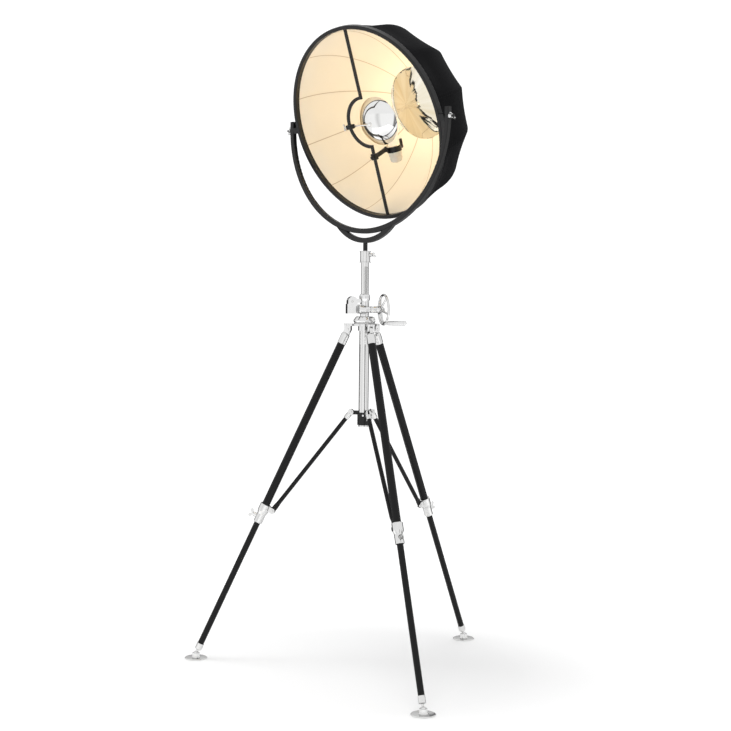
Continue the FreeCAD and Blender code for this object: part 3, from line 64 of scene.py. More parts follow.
def head_box(node):
    """Lowest and highest corner of a node in the head's own frame: X along the tilt axis, Y to the back."""
    back = HEAD.inverted()
    corners = [back @ vertex.co for vertex in frame["nodes"][node].data.vertices]
    low = Vector(min(point[i] for point in corners) for i in range(3))
    high = Vector(max(point[i] for point in corners) for i in range(3))
    return low, high


RING_HIGH = head_box("rim_ring")[1]
COVER_HIGH = head_box("shade_cover")[1]
LINING_HIGH = head_box("shade_lining")[1]
DISH_LOW, DISH_HIGH = head_box("apex_reflector")
BOWL_LOW, BOWL_HIGH = head_box("bowl_reflector")
BULB_LOW, BULB_HIGH = head_box("bulb_glass")

RIM_WIDTH = 0.012           # of the ring's section, along its radius
RIM_BACK = RING_HIGH.y
RIM_OUT = RING_HIGH.x
RIM_IN = RIM_OUT - RIM_WIDTH


# ---------------------------------------------------------------- sizes and colours a user may change

class StageSettings(bpy.types.PropertyGroup):
    bearing: FloatProperty(
        name="Camera bearing", description="Bearing of the camera round the lamp", subtype="ANGLE",
        default=math.radians(44.05))
    distance: FloatProperty(
        name="Camera distance", description="From the column to the camera", unit="LENGTH", default=4.6354)
    height: FloatProperty(
        name="Camera height", description="Camera above the floor", unit="LENGTH", default=1.1967)
    pitch: FloatProperty(
        name="Camera pitch", description="How far the camera looks down", subtype="ANGLE",
        default=math.radians(2.95))
    yaw: FloatProperty(
        name="Camera yaw", description="How far the camera looks to the right", subtype="ANGLE",
        default=math.radians(0.06))
    roll: FloatProperty(
        name="Camera roll", description="Turn of the camera round its line of sight", subtype="ANGLE",
        default=math.radians(0.67))
    lens: FloatProperty(
        name="Focal length", description="Focal length on a 36 mm sensor, in millimetres", default=73.06)
    sky: FloatProperty(
        name="Backdrop strength", description="Brightness of the white backdrop", default=1.14)
    fill: FloatProperty(
        name="Fill strength", description="Brightness of the soft light from all round", default=0.85)
    panels: FloatProperty(
        name="Panel strength", description="Brightness of the white panels that the metal reflects",
        default=1.0)
    key: FloatProperty(
        name="Key light", description="Power of the large light on the left", unit="POWER", default=22.0)
    floor: FloatVectorProperty(
        name="Floor colour", description="Colour of the plain floor", subtype="COLOR",
        default=(0.90, 0.90, 0.90))
    floor_half: FloatProperty(
        name="Floor half size", description="Half the side of the square floor", unit="LENGTH", default=1.8)
    floor_glow: FloatProperty(
        name="Floor glow", description="Light of the far floor that keeps it as white as the backdrop",
        default=0.30)


class ShadeSettings(bpy.types.PropertyGroup):
    gores: IntProperty(name="Gores", description="Cloth panels between the ribs", default=12)
    phase: FloatProperty(
        name="First rib", description="Angle of the first rib in the rim's plane", subtype="ANGLE",
        default=math.radians(10.4))
    panel_steps: IntProperty(name="Panel steps", description="Facets across one panel", default=10)
    cover_power: FloatProperty(
        name="Cover roundness", description="Exponent of the cover's profile", default=2.2)
    lining_power: FloatProperty(
        name="Lining roundness", description="Exponent of the lining's profile", default=1.95)
    cloth_thickness: FloatProperty(
        name="Cloth thickness", description="Thickness of cover and lining", unit="LENGTH",
        default=0.0008)
    cover_hollow: FloatProperty(
        name="Cover hollow", description="How far a cover panel is drawn in between its ribs",
        unit="LENGTH", default=0.0035)
    lining_hollow: FloatProperty(
        name="Lining hollow", description="How far a lining panel is drawn in between its ribs",
        unit="LENGTH", default=0.0025)
    hub_hole: FloatProperty(
        name="Hub hole", description="Radius of the hole in the cloth round the hub", unit="LENGTH",
        default=0.038)
    cover_colour: FloatVectorProperty(
        name="Cover colour", description="Black cotton", subtype="COLOR", default=(0.0040, 0.0040, 0.0044))
    lining_colour: FloatVectorProperty(
        name="Lining colour", description="Cream cotton", subtype="COLOR", default=(0.90, 0.82, 0.68))
    seam_colour: FloatVectorProperty(
        name="Seam colour", description="Thread and doubled cloth of the lining's seams", subtype="COLOR",
        default=(0.50, 0.38, 0.24))


class MetalSettings(bpy.types.PropertyGroup):
    bright: FloatVectorProperty(
        name="Bright metal", description="Plated fittings and tubes", subtype="COLOR",
        default=(0.85, 0.85, 0.845))
    cast: FloatVectorProperty(
        name="Cast metal", description="Polished castings", subtype="COLOR", default=(0.88, 0.88, 0.88))
    coat: FloatVectorProperty(
        name="Black coat", description="Satin black coat of legs, yoke and ring", subtype="COLOR",
        default=(0.006, 0.006, 0.0065))


class LampSettings(bpy.types.PropertyGroup):
    glow: FloatProperty(name="Bulb glow", description="Strength of the lit bulb", default=0.7)
    glow_colour: FloatVectorProperty(
        name="Glow colour", description="Warm light of the bulb", subtype="COLOR", default=(1.0, 0.82, 0.56))
    light: FloatProperty(
        name="Bulb light", description="Power that the bulb throws", unit="POWER", default=0.78)
    ceramic: FloatVectorProperty(
        name="Holder glaze", description="Glazed holder", subtype="COLOR", default=(0.80, 0.74, 0.62))


# ---------------------------------------------------------------- node work

MIX_FIRST, MIX_SECOND, MIX_RESULT = 6, 7, 2     # colour sockets of a Mix node
NOISE_MIDDLE = (0.3, 0.7)                       # nearly all of a noise lies between these
WAVE_RATE = 20                                  # a wave texture of scale 1 turns by this angle per metre
THREAD_WAVER = (0.6, 0.4)                       # distortion of a thread, and the scale of it
WHITE = (1, 1, 1, 1)


class NodeWork:
    """Short forms to make and link the nodes of one tree."""

    def __init__(self, tree):
        self.tree = tree

    def add(self, kind, **values):
        """New node of a kind, with properties set."""
        node = self.tree.nodes.new(kind)
        for name, value in values.items():
            setattr(node, name, value)
        return node

    def link(self, output, target):
        self.tree.links.new(output, target)

    def map_range(self, value, low, high, to_low=0.0, to_high=1.0):
        """Moves a value from one range to another, and keeps it inside."""
        node = self.add("ShaderNodeMapRange")
        for socket, number in zip(("From Min", "From Max", "To Min", "To Max"), (low, high, to_low, to_high)):
            node.inputs[socket].default_value = number
        self.link(value, node.inputs["Value"])
        return node.outputs["Result"]

    def calculate(self, operation, first, second=0.0):
        """Result of one Math node; each operand is a number or a node's output."""
        node = self.add("ShaderNodeMath", operation=operation)
        for socket, value in zip(node.inputs, (first, second)):
            if isinstance(value, (int, float)):
                socket.default_value = value
            else:
                self.link(value, socket)
        return node.outputs["Value"]

    def blend_colours(self, factor, first, second):
        """Colour that runs from first to second with the factor; either may be a node's output."""
        node = self.add("ShaderNodeMix", data_type="RGBA")
        self.link(factor, node.inputs["Factor"])
        for socket, value in zip((node.inputs[MIX_FIRST], node.inputs[MIX_SECOND]), (first, second)):
            if isinstance(value, bpy.types.NodeSocket):
                self.link(value, socket)
            else:
                socket.default_value = (*value, 1)
        return node.outputs[MIX_RESULT]


class Surface(NodeWork):
    """One surface material: a principled shader and the nodes that feed it, on Object coordinates."""

    def __init__(self, name, colour, roughness, **sockets):
        self.material = bpy.data.materials.new(name)
        self.material.use_nodes = True
        super().__init__(self.material.node_tree)
        self.shader = self.tree.nodes["Principled BSDF"]
        self.shader.inputs["Base Color"].default_value = (*colour, 1)
        self.shader.inputs["Roughness"].default_value = roughness
        for socket, value in sockets.items():
            self.shader.inputs[socket.replace("_", " ")].default_value = value
        self.place = self.add("ShaderNodeTexCoord").outputs["Object"]
        self.relief = None

    def stretched(self, scale, source=None):
        """Coordinates stretched along an axis by a small scale there."""
        node = self.add("ShaderNodeMapping")
        node.inputs["Scale"].default_value = scale
        self.link(source or self.place, node.inputs["Vector"])
        return node.outputs["Vector"]

    def cloud(self, scale, detail, roughness=0.5, source=None):
        """Soft noise; a higher scale makes it finer, and detail adds smaller noise to it."""
        node = self.add("ShaderNodeTexNoise")
        node.inputs["Scale"].default_value = scale
        node.inputs["Detail"].default_value = detail
        node.inputs["Roughness"].default_value = roughness
        self.link(source or self.place, node.inputs["Vector"])
        return node.outputs["Fac"]

    def cells(self, scale):
        """Distance to the nearest of many scattered points."""
        node = self.add("ShaderNodeTexVoronoi")
        node.inputs["Scale"].default_value = scale
        self.link(self.place, node.inputs["Vector"])
        return node.outputs["Distance"]

    def threads(self, pitch, direction, source):
        """Sine bands of one thread each."""
        node = self.add("ShaderNodeTexWave", bands_direction=direction)
        node.inputs["Scale"].default_value = math.tau / (WAVE_RATE * pitch)
        node.inputs["Distortion"].default_value = THREAD_WAVER[0]
        node.inputs["Detail Scale"].default_value = THREAD_WAVER[1]
        self.link(source, node.inputs["Vector"])
        return node.outputs["Fac"]

    def sine(self, value, pitch):
        """Sine wave along a length, with one turn in a pitch."""
        return self.calculate("SINE", self.calculate("MULTIPLY", value, math.tau / pitch))

    def attribute(self, name, output="Fac"):
        """A measure that the mesh work left on the vertices."""
        return self.add("ShaderNodeAttribute", attribute_name=name).outputs[output]

    def cut(self):
        """The cloth's own map, whose units are metres."""
        return self.add("ShaderNodeUVMap", uv_map="cut").outputs["UV"]

    def vary_colour(self, factor, first, second):
        self.link(self.blend_colours(factor, first, second), self.shader.inputs["Base Color"])

    def vary_roughness(self, noise, low, high):
        self.link(self.map_range(noise, *NOISE_MIDDLE, low, high), self.shader.inputs["Roughness"])

    def bump(self, height, depth, strength):
        """Adds a relief on top of the earlier ones. Depth is in metres."""
        node = self.add("ShaderNodeBump")
        node.inputs["Strength"].default_value = strength
        node.inputs["Distance"].default_value = depth
        self.link(height, node.inputs["Height"])
        if self.relief:
            self.link(self.relief, node.inputs["Normal"])
        self.relief = node.outputs["Normal"]
        self.link(self.relief, self.shader.inputs["Normal"])
        return self


def shade(colour, factor):
    """The same colour, darker or lighter."""
    return tuple(channel * factor for channel in colour)


def dress(surface, *objects):
    """Gives each object this surface as its only material."""
    for thing in objects:
        thing.data.materials.clear()
        thing.data.materials.append(surface.material)


# ---------------------------------------------------------------- metals, glaze and glass

# Slanting tints darken a metal's reflections where it is seen at a slant: painted shade, a dark outline round
# polished parts
PAINTED_DARK_EDGE = (0.0, 0.0, 0.0, 1)          # tint of a metal where it is seen at a slant
PAINTED_PALE_EDGE = (0.55, 0.55, 0.55, 1)
# warm slanting tint of the bowl: painted darker gold on its reflection of the cream lining
BOWL_PAINTED_GOLD_EDGE = (0.40, 0.31, 0.17, 1)
WORN_COAT = (0.016, 0.016, 0.017)
MIRROR_COLOUR = (0.90, 0.90, 0.89)
MIRROR_DIM = (0.86, 0.86, 0.85)
MIRROR_CLEAR = (0.92, 0.92, 0.91)
# Warm gold along the dish's creases: a painted reflection of the cream lining
PAINTED_REFLECTION_DEEP = (0.84, 0.74, 0.53)
PAINTED_REFLECTION_PALE = (1.0, 0.96, 0.84)
CAP_COLOUR = (0.75, 0.66, 0.45)
CAP_THREAD = 0.0036                     # thread pitch of the bulb's cap
GLASS_COLOUR = (0.50, 0.45, 0.38)
FRAME_COAT = (700, 0.30)                # scale of the peel, and gloss
LEG_COAT = (900, 0.16)
DISH_WAVES = (14, 0.004)                # scale of a mirror's unevenness, and its relief in metres
BOWL_WAVES = (20, 0.0005)


def cast_metal(colour):
    """Polished casting: soft unevenness, faint polishing marks and dull spots."""
    # dark slanting tint: painted shade round the edges of the reflections
    metal = Surface("polished_casting", colour, 0.08, Metallic=1.0, Specular_Tint=PAINTED_DARK_EDGE)
    metal.vary_colour(metal.cloud(38, 4), shade(colour, 0.86), colour)
    metal.vary_roughness(metal.cloud(120, 5), 0.06, 0.18)
    return metal.bump(metal.cloud(55, 2), 0.0004, 0.2).bump(metal.cloud(900, 2), 0.00003, 0.3)


def bright_tube(colour):
    """Plated tube with fine lengthwise draw marks."""
    # dark slanting tint: painted shade round the edges of the reflections
    metal = Surface("plated_tube", colour, 0.08, Metallic=1.0, Specular_Tint=PAINTED_DARK_EDGE)
    marks = metal.cloud(300, 3, source=metal.stretched((1, 1, 0.01)))
    metal.vary_colour(marks, shade(colour, 0.92), colour)
    metal.vary_roughness(metal.cloud(60, 4), 0.05, 0.13)
    return metal.bump(marks, 0.00002, 0.5)


def bright_fitting(name, colour, edge):
    """Turned and plated fittings: fine unevenness, slightly dulled. Edge is their tint at a slant, painted
    shade on their reflections there.
    """
    metal = Surface(name, colour, 0.14, Metallic=1.0, Specular_Tint=edge)
    metal.vary_colour(metal.cloud(90, 4), shade(colour, 0.88), colour)
    metal.vary_roughness(metal.cloud(160, 4), 0.06, 0.16)
    return metal.bump(metal.cloud(120, 3), 0.0002, 0.2).bump(metal.cloud(1500, 2), 0.00002, 0.3)


def black_coat(name, colour, grain, shine):
    """Baked satin coat: a fine peel, and wear that lets a little grey through. Shine is its gloss."""
    coat = Surface(name, colour, 0.34, Specular_IOR_Level=shine, Coat_Weight=shine / 2, Coat_Roughness=0.22)
    wear = coat.map_range(coat.cloud(26, 6, 0.65), 0.62, 0.78, 0.0, 0.5)
    coat.vary_colour(wear, colour, WORN_COAT)
    coat.vary_roughness(coat.cloud(70, 4), 0.28, 0.44)
    return coat.bump(coat.cloud(grain, 2), 0.00008, 0.5).bump(coat.cells(grain * 1.7), 0.00003, 0.3)


def mirror_metal(name, waves, wobble, edge):
    """Polished mirror with a slightly wavy surface, tinted where it is seen at a slant; that tint is painted
    colour on its reflections.
    """
    metal = Surface(name, MIRROR_COLOUR, 0.02, Metallic=1.0, Specular_Tint=edge)
    metal.vary_roughness(metal.cloud(40, 4), 0.01, 0.05)
    metal.vary_colour(metal.cloud(30, 3), MIRROR_DIM, MIRROR_CLEAR)
    return metal.bump(metal.cloud(waves, 1), wobble, 0.4)


def creased_mirror(name, waves, wobble):
    """Thin mirror whose creases fan out from one point, with a painted warm reflection of the cream lining
    along them.
    """
    metal = mirror_metal(name, waves, wobble, WHITE)
    creases = metal.cloud(2.1, 4, 0.55, source=metal.attribute("fan", "Vector"))
    # painted reflection: warm gold of the lining laid across the creases
    metal.vary_colour(metal.map_range(creases, 0.35, 0.65), PAINTED_REFLECTION_DEEP, PAINTED_REFLECTION_PALE)
    return metal.bump(creases, 0.0016, 0.35)


def glazed_ceramic(colour):
    """Glaze that is thicker and darker in places."""
    glaze = Surface("glazed_ceramic", colour, 0.28, Coat_Weight=0.6, Coat_Roughness=0.08,
                    Subsurface_Weight=0.1, Subsurface_Scale=0.004)
    glaze.vary_colour(glaze.cloud(60, 5), shade(colour, 0.82), colour)
    glaze.vary_roughness(glaze.cloud(140, 3), 0.2, 0.4)
    return glaze.bump(glaze.cloud(90, 2), 0.0004, 0.4)


def lit_glass(settings):
    """Frosted envelope of a lit bulb."""
    glass = Surface("lit_frosted_glass", GLASS_COLOUR, 0.35, Coat_Weight=0.5, Coat_Roughness=0.1)
    glass.shader.inputs["Emission Color"].default_value = (*settings.glow_colour, 1)
    glass.shader.inputs["Emission Strength"].default_value = settings.glow
    return glass.bump(glass.cloud(400, 2), 0.00005, 0.3)


def plated_cap():
    """Screw cap of the bulb, with its thread as a relief."""
    metal = Surface("plated_cap", CAP_COLOUR, 0.25, Metallic=1.0)
    metal.vary_roughness(metal.cloud(200, 3), 0.18, 0.4)
    return metal.bump(metal.threads(CAP_THREAD, "Z", metal.place), 0.0009, 0.9)


# ---------------------------------------------------------------- cloth materials, lengths in metres

COVER_WARP = 0.0008             # from one thread to the next
COVER_WEFT = 0.0009
LINING_WARP = 0.0007
LINING_WEFT = 0.0008
COVER_LAP = 0.0075              # half width of the doubled cloth at a seam
LINING_LAP = 0.006
COVER_STITCH = 0.0045           # from one stitch to the next
LINING_STITCH = 0.004
STITCH_ROW = 0.005              # from the seam to the row of stitches beside it
STITCH_EDGES = (0.0003, 0.0007) # from the row, where a stitch starts to fade and where it ends
PUCKER_REACH = 0.022            # how far the cloth puckers beside a seam
PUCKER_PITCH = 0.011
THREAD_EDGES = (0.0009, 0.0017) # the same for the thread in the lining's seam
BLACK_THREAD = (0.012, 0.012, 0.013)
SHEEN_TINT = (0.55, 0.56, 0.60, 1)


def weave(cloth, warp_pitch, weft_pitch, depth):
    """Plain weave on the cloth's own map. Returns the unevenness of its threads."""
    flat = cloth.cut()
    warp = cloth.threads(warp_pitch, "X", flat)
    weft = cloth.threads(weft_pitch, "Y", flat)
    over = cloth.add("ShaderNodeTexChecker")
    over.inputs["Scale"].default_value = 1 / (2 * warp_pitch)
    cloth.link(flat, over.inputs["Vector"])
    under = cloth.calculate("SUBTRACT", 1.0, over.outputs["Fac"])
    warp_over = cloth.calculate("MULTIPLY", warp, over.outputs["Fac"])
    weft_over = cloth.calculate("MULTIPLY", weft, under)
    cloth.bump(cloth.calculate("ADD", warp_over, weft_over), depth, 0.7)
    return cloth.cloud(700, 2, source=cloth.stretched((1, 0.05, 1), flat))


def cover_cotton(settings):
    """Black cotton with lapped seams and a row of stitches at each side of them."""
    colour = settings.cover_colour
    cloth = Surface("black_cotton", colour, 0.88, Sheen_Weight=0.03, Sheen_Roughness=0.45,
                    Sheen_Tint=SHEEN_TINT, Specular_IOR_Level=0.06)
    slub = weave(cloth, COVER_WARP, COVER_WEFT, 0.00012)
    seam = cloth.attribute("seam")
    along = cloth.attribute("along")
    lap = cloth.map_range(seam, 0.0, COVER_LAP, 1.0, 0.0)
    near = cloth.map_range(seam, 0.0, PUCKER_REACH, 1.0, 0.0)
    pucker = cloth.calculate("MULTIPLY", cloth.sine(along, PUCKER_PITCH), near)
    from_row = cloth.calculate("ABSOLUTE", cloth.calculate("SUBTRACT", seam, STITCH_ROW))
    row = cloth.map_range(from_row, *STITCH_EDGES, 1.0, 0.0)
    stitches = cloth.calculate("MULTIPLY", row, cloth.map_range(cloth.sine(along, COVER_STITCH), -0.5, -0.2))
    base = cloth.blend_colours(slub, shade(colour, 0.75), shade(colour, 1.5))
    cloth.vary_colour(stitches, base, BLACK_THREAD)
    cloth.bump(lap, 0.0006, 0.8).bump(pucker, 0.0006, 0.4).bump(stitches, 0.0004, 0.8)
    return cloth.bump(cloth.cloud(9, 3), 0.004, 0.25)


def lining_cotton(settings):
    """Cream cotton, thin seams in brown thread, and soft creases that run to the hub."""
    colour = settings.lining_colour
    cloth = Surface("cream_cotton", colour, 0.80, Sheen_Weight=0.15, Sheen_Roughness=0.5,
                    Specular_IOR_Level=0.25)
    slub = weave(cloth, LINING_WARP, LINING_WEFT, 0.00010)
    seam = cloth.attribute("seam")
    along = cloth.attribute("along")
    line = cloth.map_range(seam, *THREAD_EDGES, 1.0, 0.0)
    gaps = cloth.map_range(cloth.sine(along, LINING_STITCH), -0.7, 0.3, 0.75, 1.0)
    thread = cloth.calculate("MULTIPLY", line, gaps)
    lap = cloth.map_range(seam, 0.0, LINING_LAP, 1.0, 0.0)
    stains = cloth.map_range(cloth.cloud(7, 4), 0.45, 0.75, 0.0, 0.35)
    base = cloth.blend_colours(slub, shade(colour, 0.96), colour)
    stained = cloth.blend_colours(stains, base, shade(colour, 0.92))
    cloth.vary_colour(thread, stained, settings.seam_colour)
    creases = cloth.cloud(26, 3, source=cloth.stretched((1, 0.12, 1), cloth.cut()))
    cloth.bump(lap, 0.0005, 0.8).bump(creases, 0.004, 0.18)
    return cloth.bump(cloth.cloud(11, 2), 0.006, 0.15)


# ---------------------------------------------------------------- mesh work

MERGE_DISTANCE = 1e-6
CLOTH_ANGLE = 60                # degrees between faces up to which the shading is rounded
METAL_ANGLE = 30


def smooth_by_angle(thing, degrees):
    """Rounds the shading of all edges but the sharp ones."""
    mesh = thing.data
    work = bmesh.new()
    work.from_mesh(mesh)
    limit = math.radians(degrees)
    for face in work.faces:
        face.smooth = True
    for edge in work.edges:
        edge.smooth = len(edge.link_faces) == 2 and edge.calc_face_angle(0) < limit
    work.to_mesh(mesh)
    work.free()


def piece(work, name, body, degrees):
    """Closes a piece of mesh work: an object in the lamp's place that rides on a body."""
    bmesh.ops.remove_doubles(work, verts=work.verts, dist=MERGE_DISTANCE)
    bmesh.ops.recalc_face_normals(work, faces=work.faces)
    mesh = bpy.data.meshes.new(name)
    work.to_mesh(mesh)
    work.free()
    thing = bpy.data.objects.new(name, mesh)
    bpy.context.scene.collection.objects.link(thing)
    smooth_by_angle(thing, degrees)
    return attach(thing, body)


def chain(work, points):
    """A row of vertices joined by edges."""
    verts = [work.verts.new(point) for point in points]
    edges = [work.edges.new(pair) for pair in zip(verts, verts[1:])]
    return verts, edges


def spin_round(work, verts, edges, steps, axis):
    """Full turn of a chain round an axis through the origin."""
    bmesh.ops.spin(work, geom=verts + edges, axis=axis, cent=(0, 0, 0), angle=math.tau, steps=steps,
                   use_merge=True)


def turned_piece(work, outline, place, steps):
    """Spins (radius, height) points round Z and moves the result to its place."""
    before = set(work.verts)
    verts, edges = chain(work, [(radius, 0, height) for radius, height in outline])
    spin_round(work, verts, edges, steps, (0, 0, 1))
    made = [vertex for vertex in work.verts if vertex not in before]
    bmesh.ops.transform(work, matrix=place, verts=made)


def facing(at, direction):
    """Placement whose Z axis looks along direction."""
    turn = Vector(direction).normalized().to_track_quat("Z", "Y").to_matrix().to_4x4()
    return Matrix.Translation(at) @ turn


# ---------------------------------------------------------------- stage

# Greys that the metal reflects, by bearing: 0.5 is behind the camera, 0.25 and 0.75 are to its left and
# right, 0 and 1 are behind the lamp.
PANEL_STOPS = (
    (0.0, 0.05), (0.15, 0.08), (0.185, 0.95), (0.33, 1.0), (0.37, 0.72), (0.41, 1.0), (0.553, 1.0),
    (0.566, 0.22), (0.580, 0.22), (0.592, 0.98), (0.67, 0.95), (0.70, 0.50), (0.735, 1.0), (0.81, 0.95),
    (0.85, 0.08), (1.0, 0.05))
PANEL_TOP = (0.09, 0.17)            # rise of the sight line over which the panels give way to the upper tone
UPPER_TONE = (0.92, 0.92, 0.92)
# Name, place, side, and power as a share of the key light's
LIGHTS = (
    ("key", (-2.6, -3.4, 3.2), 2.4, 1.0),
    ("rim", (3.4, 1.8, 2.6), 1.6, 0.5),
    ("top", (-0.3, -0.2, 4.6), 1.1, 2.2))
LIGHT_TARGET = Vector((0, 0, 1.0))
SENSOR_WIDTH = 36                   # millimetres
FLOOR_FACES = 8                     # along a side
GLOW_REACH = (0.5, 1.7)             # from the column, where the floor's glow starts and where it is full
GLOW_START = 0.03


class LAMP_OT_stage(bpy.types.Operator):
    """Floor, white studio, lights and camera"""
    bl_idname = "lamp.stage"
    bl_label = "Stage"

    def execute(self, context):
        settings = context.scene.lamp_stage
        self.make_camera(context.scene, settings)
        self.make_studio(context.scene, settings)
        self.make_floor(context.scene, settings)
        self.make_lights(context.scene, settings)
        return {"FINISHED"}

    def make_camera(self, scene, settings):
        data = bpy.data.cameras.new("camera")
        data.sensor_width = SENSOR_WIDTH
        data.lens = settings.lens
        camera = bpy.data.objects.new("camera", data)
        scene.collection.objects.link(camera)
        bearing = settings.bearing
        away = Vector((-math.sin(bearing), math.cos(bearing), 0))
        side = Vector((math.cos(bearing), math.sin(bearing), 0))
        level = away * math.cos(settings.yaw) + side * math.sin(settings.yaw)
        look = level * math.cos(settings.pitch) - Vector((0, 0, math.sin(settings.pitch)))
        right = look.cross(Vector((0, 0, 1))).normalized()
        up = right.cross(look)
        rolled_right = right * math.cos(settings.roll) + up * math.sin(settings.roll)
        rolled_up = up * math.cos(settings.roll) - right * math.sin(settings.roll)
        turn = Matrix((rolled_right, rolled_up, -look)).transposed().to_4x4()
        spot = -away * settings.distance + Vector((0, 0, settings.height))
        camera.matrix_world = Matrix.Translation(spot) @ turn
        scene.camera = camera

    def make_studio(self, scene, settings):
        """White behind the lamp, soft light all round, and white panels with dark gaps for the metal."""
        world = bpy.data.worlds.new("studio")
        world.use_nodes = True
        scene.world = world
        scene.view_settings.view_transform = "Standard"
        work = NodeWork(world.node_tree)
        backdrop = work.tree.nodes["Background"]
        fill = work.add("ShaderNodeBackground")
        panels = work.add("ShaderNodeBackground")
        for node, strength in ((backdrop, settings.sky), (fill, settings.fill), (panels, settings.panels)):
            node.inputs["Color"].default_value = WHITE
            node.inputs["Strength"].default_value = strength
        work.link(self.panel_tones(work, settings.bearing), panels.inputs["Color"])
        rays = work.add("ShaderNodeLightPath").outputs
        unseen = self.choose(work, rays["Is Glossy Ray"], fill.outputs["Background"],
                             panels.outputs["Background"])
        seen = self.choose(work, rays["Is Camera Ray"], unseen, backdrop.outputs["Background"])
        work.link(seen, work.tree.nodes["World Output"].inputs["Surface"])

    def choose(self, work, factor, first, second):
        """The first shader where the factor is 0, the second where it is 1."""
        node = work.add("ShaderNodeMixShader")
        for output, target in zip((factor, first, second), node.inputs):
            work.link(output, target)
        return node.outputs["Shader"]

    def panel_tones(self, work, bearing):
        """Greys by bearing up to the top of the panels, and one pale tone above them."""
        turned = work.add("ShaderNodeMapping")
        turned.inputs["Rotation"].default_value = (0, 0, -bearing)
        work.link(work.add("ShaderNodeTexCoord").outputs["Generated"], turned.inputs["Vector"])
        split = work.add("ShaderNodeSeparateXYZ")
        work.link(turned.outputs["Vector"], split.inputs["Vector"])
        forward = work.calculate("MULTIPLY", split.outputs["Y"], -1)
        angle = work.calculate("ARCTAN2", split.outputs["X"], forward)
        tones = work.add("ShaderNodeValToRGB")
        work.link(work.map_range(angle, -math.pi, math.pi), tones.inputs["Fac"])
        stops = tones.color_ramp.elements
        for stop, (position, grey) in zip(stops, (PANEL_STOPS[0], PANEL_STOPS[-1])):
            stop.position = position
            stop.color = (grey, grey, grey, 1)
        for position, grey in PANEL_STOPS[1:-1]:
            stops.new(position).color = (grey, grey, grey, 1)
        above = work.map_range(split.outputs["Z"], *PANEL_TOP)
        return work.blend_colours(above, tones.outputs["Color"], UPPER_TONE)

    def make_floor(self, scene, settings):
        """Pale floor whose far part glows, so that it runs into the white backdrop."""
        work = bmesh.new()
        bmesh.ops.create_grid(work, x_segments=FLOOR_FACES, y_segments=FLOOR_FACES, size=settings.floor_half)
        mesh = bpy.data.meshes.new("floor")
        work.to_mesh(mesh)
        work.free()
        floor = bpy.data.objects.new("floor", mesh)
        scene.collection.objects.link(floor)
        paper = Surface("pale_floor", settings.floor, 0.9, Specular_IOR_Level=0.1, Emission_Color=WHITE)
        away = paper.add("ShaderNodeVectorMath", operation="LENGTH")
        paper.link(paper.place, away.inputs[0])
        glow = paper.map_range(away.outputs["Value"], *GLOW_REACH, GLOW_START, settings.floor_glow)
        paper.link(glow, paper.shader.inputs["Emission Strength"])
        dress(paper, floor)

    def make_lights(self, scene, settings):
        """Lights that the metal doesn't mirror: left, right behind, and above for the soft shadow."""
        for name, spot, side, share in LIGHTS:
            data = bpy.data.lights.new(name, "AREA")
            data.energy = settings.key * share
            data.size = side
            light = bpy.data.objects.new(name, data)
            scene.collection.objects.link(light)
            light.matrix_world = facing(spot, Vector(spot) - LIGHT_TARGET)
            light.visible_glossy = False


# ---------------------------------------------------------------- finishes of the frame's nodes

class LAMP_OT_bright_metal(bpy.types.Operator):
    """Finishes of the plated and polished metal nodes"""
    bl_idname = "lamp.bright_metal"
    bl_label = "Bright metal"

    castings = ("crown", "gear_housing", "hand_wheel", "crank_grip")
    tubes = ("outer_tube", "rack_column")
    fittings = ("crown_fasteners", "lock_knob", "pinion_shaft", "top_collar", "collar_screw", "spreader_pins",
                "wing_nut_left", "wing_nut_right", "rod_screw")
    leg_fittings = ("leg_knuckle_", "leg_clamp_", "clamp_screw_", "foot_ferrule_", "strut_knuckle_")

    def execute(self, context):
        settings = context.scene.lamp_metal
        nodes = frame["nodes"]
        dress(cast_metal(settings.cast), *[nodes[name] for name in self.castings])
        dress(bright_tube(settings.bright), *[nodes[name] for name in self.tubes])
        names = list(self.fittings) + [name + leg for name in self.leg_fittings for leg in LEGS]
        dress(bright_fitting("plated_fitting", settings.bright, PAINTED_DARK_EDGE), *[nodes[name] for name in names])
        discs = [nodes["foot_disc_" + leg] for leg in LEGS]
        # paler slanting tint: painted grey edges on the discs' reflections
        dress(bright_fitting("plated_disc", settings.bright, PAINTED_PALE_EDGE), *discs)
        return {"FINISHED"}


class LAMP_OT_black_metal(bpy.types.Operator):
    """Satin black coat of the legs, struts, yoke, ring and bar"""
    bl_idname = "lamp.black_metal"
    bl_label = "Black metal"

    frame_nodes = ("spreader_collar", "yoke_bow", "yoke_bracket", "pivot_blocks", "rim_ring", "rib_frame",
                   "front_bar", "rod_clamp", "lamp_arm", "arm_link", "arm_knob")
    leg_nodes = ("leg_tube_", "lower_leg_", "strut_")

    def execute(self, context):
        colour = context.scene.lamp_metal.coat
        nodes = frame["nodes"]
        frame_coat = black_coat("satin_black_frame", colour, *FRAME_COAT)
        dress(frame_coat, *[nodes[name] for name in self.frame_nodes])
        leg_coat = black_coat("satin_black_legs", colour, *LEG_COAT)
        dress(leg_coat, *[nodes[name + leg] for name in self.leg_nodes for leg in LEGS])
        return {"FINISHED"}


# ---------------------------------------------------------------- cloth

HEM_INSET = 0.0015              # of the cover's hem from the ring's outer edge
LINING_TUCK = (0.0004, 0.003)   # of the lining's hem: past the ring's inner edge, and in front of its back
PROFILE_STEPS = 30
ROUND_HEM = 0.10                # share of the profile over which the round hem runs into flat panels
HOLLOW_TAPER = 0.7              # how fast the hollow of a panel dies out at its ends
GORE_SPACING = 0.16             # between the gores on the cloth's map


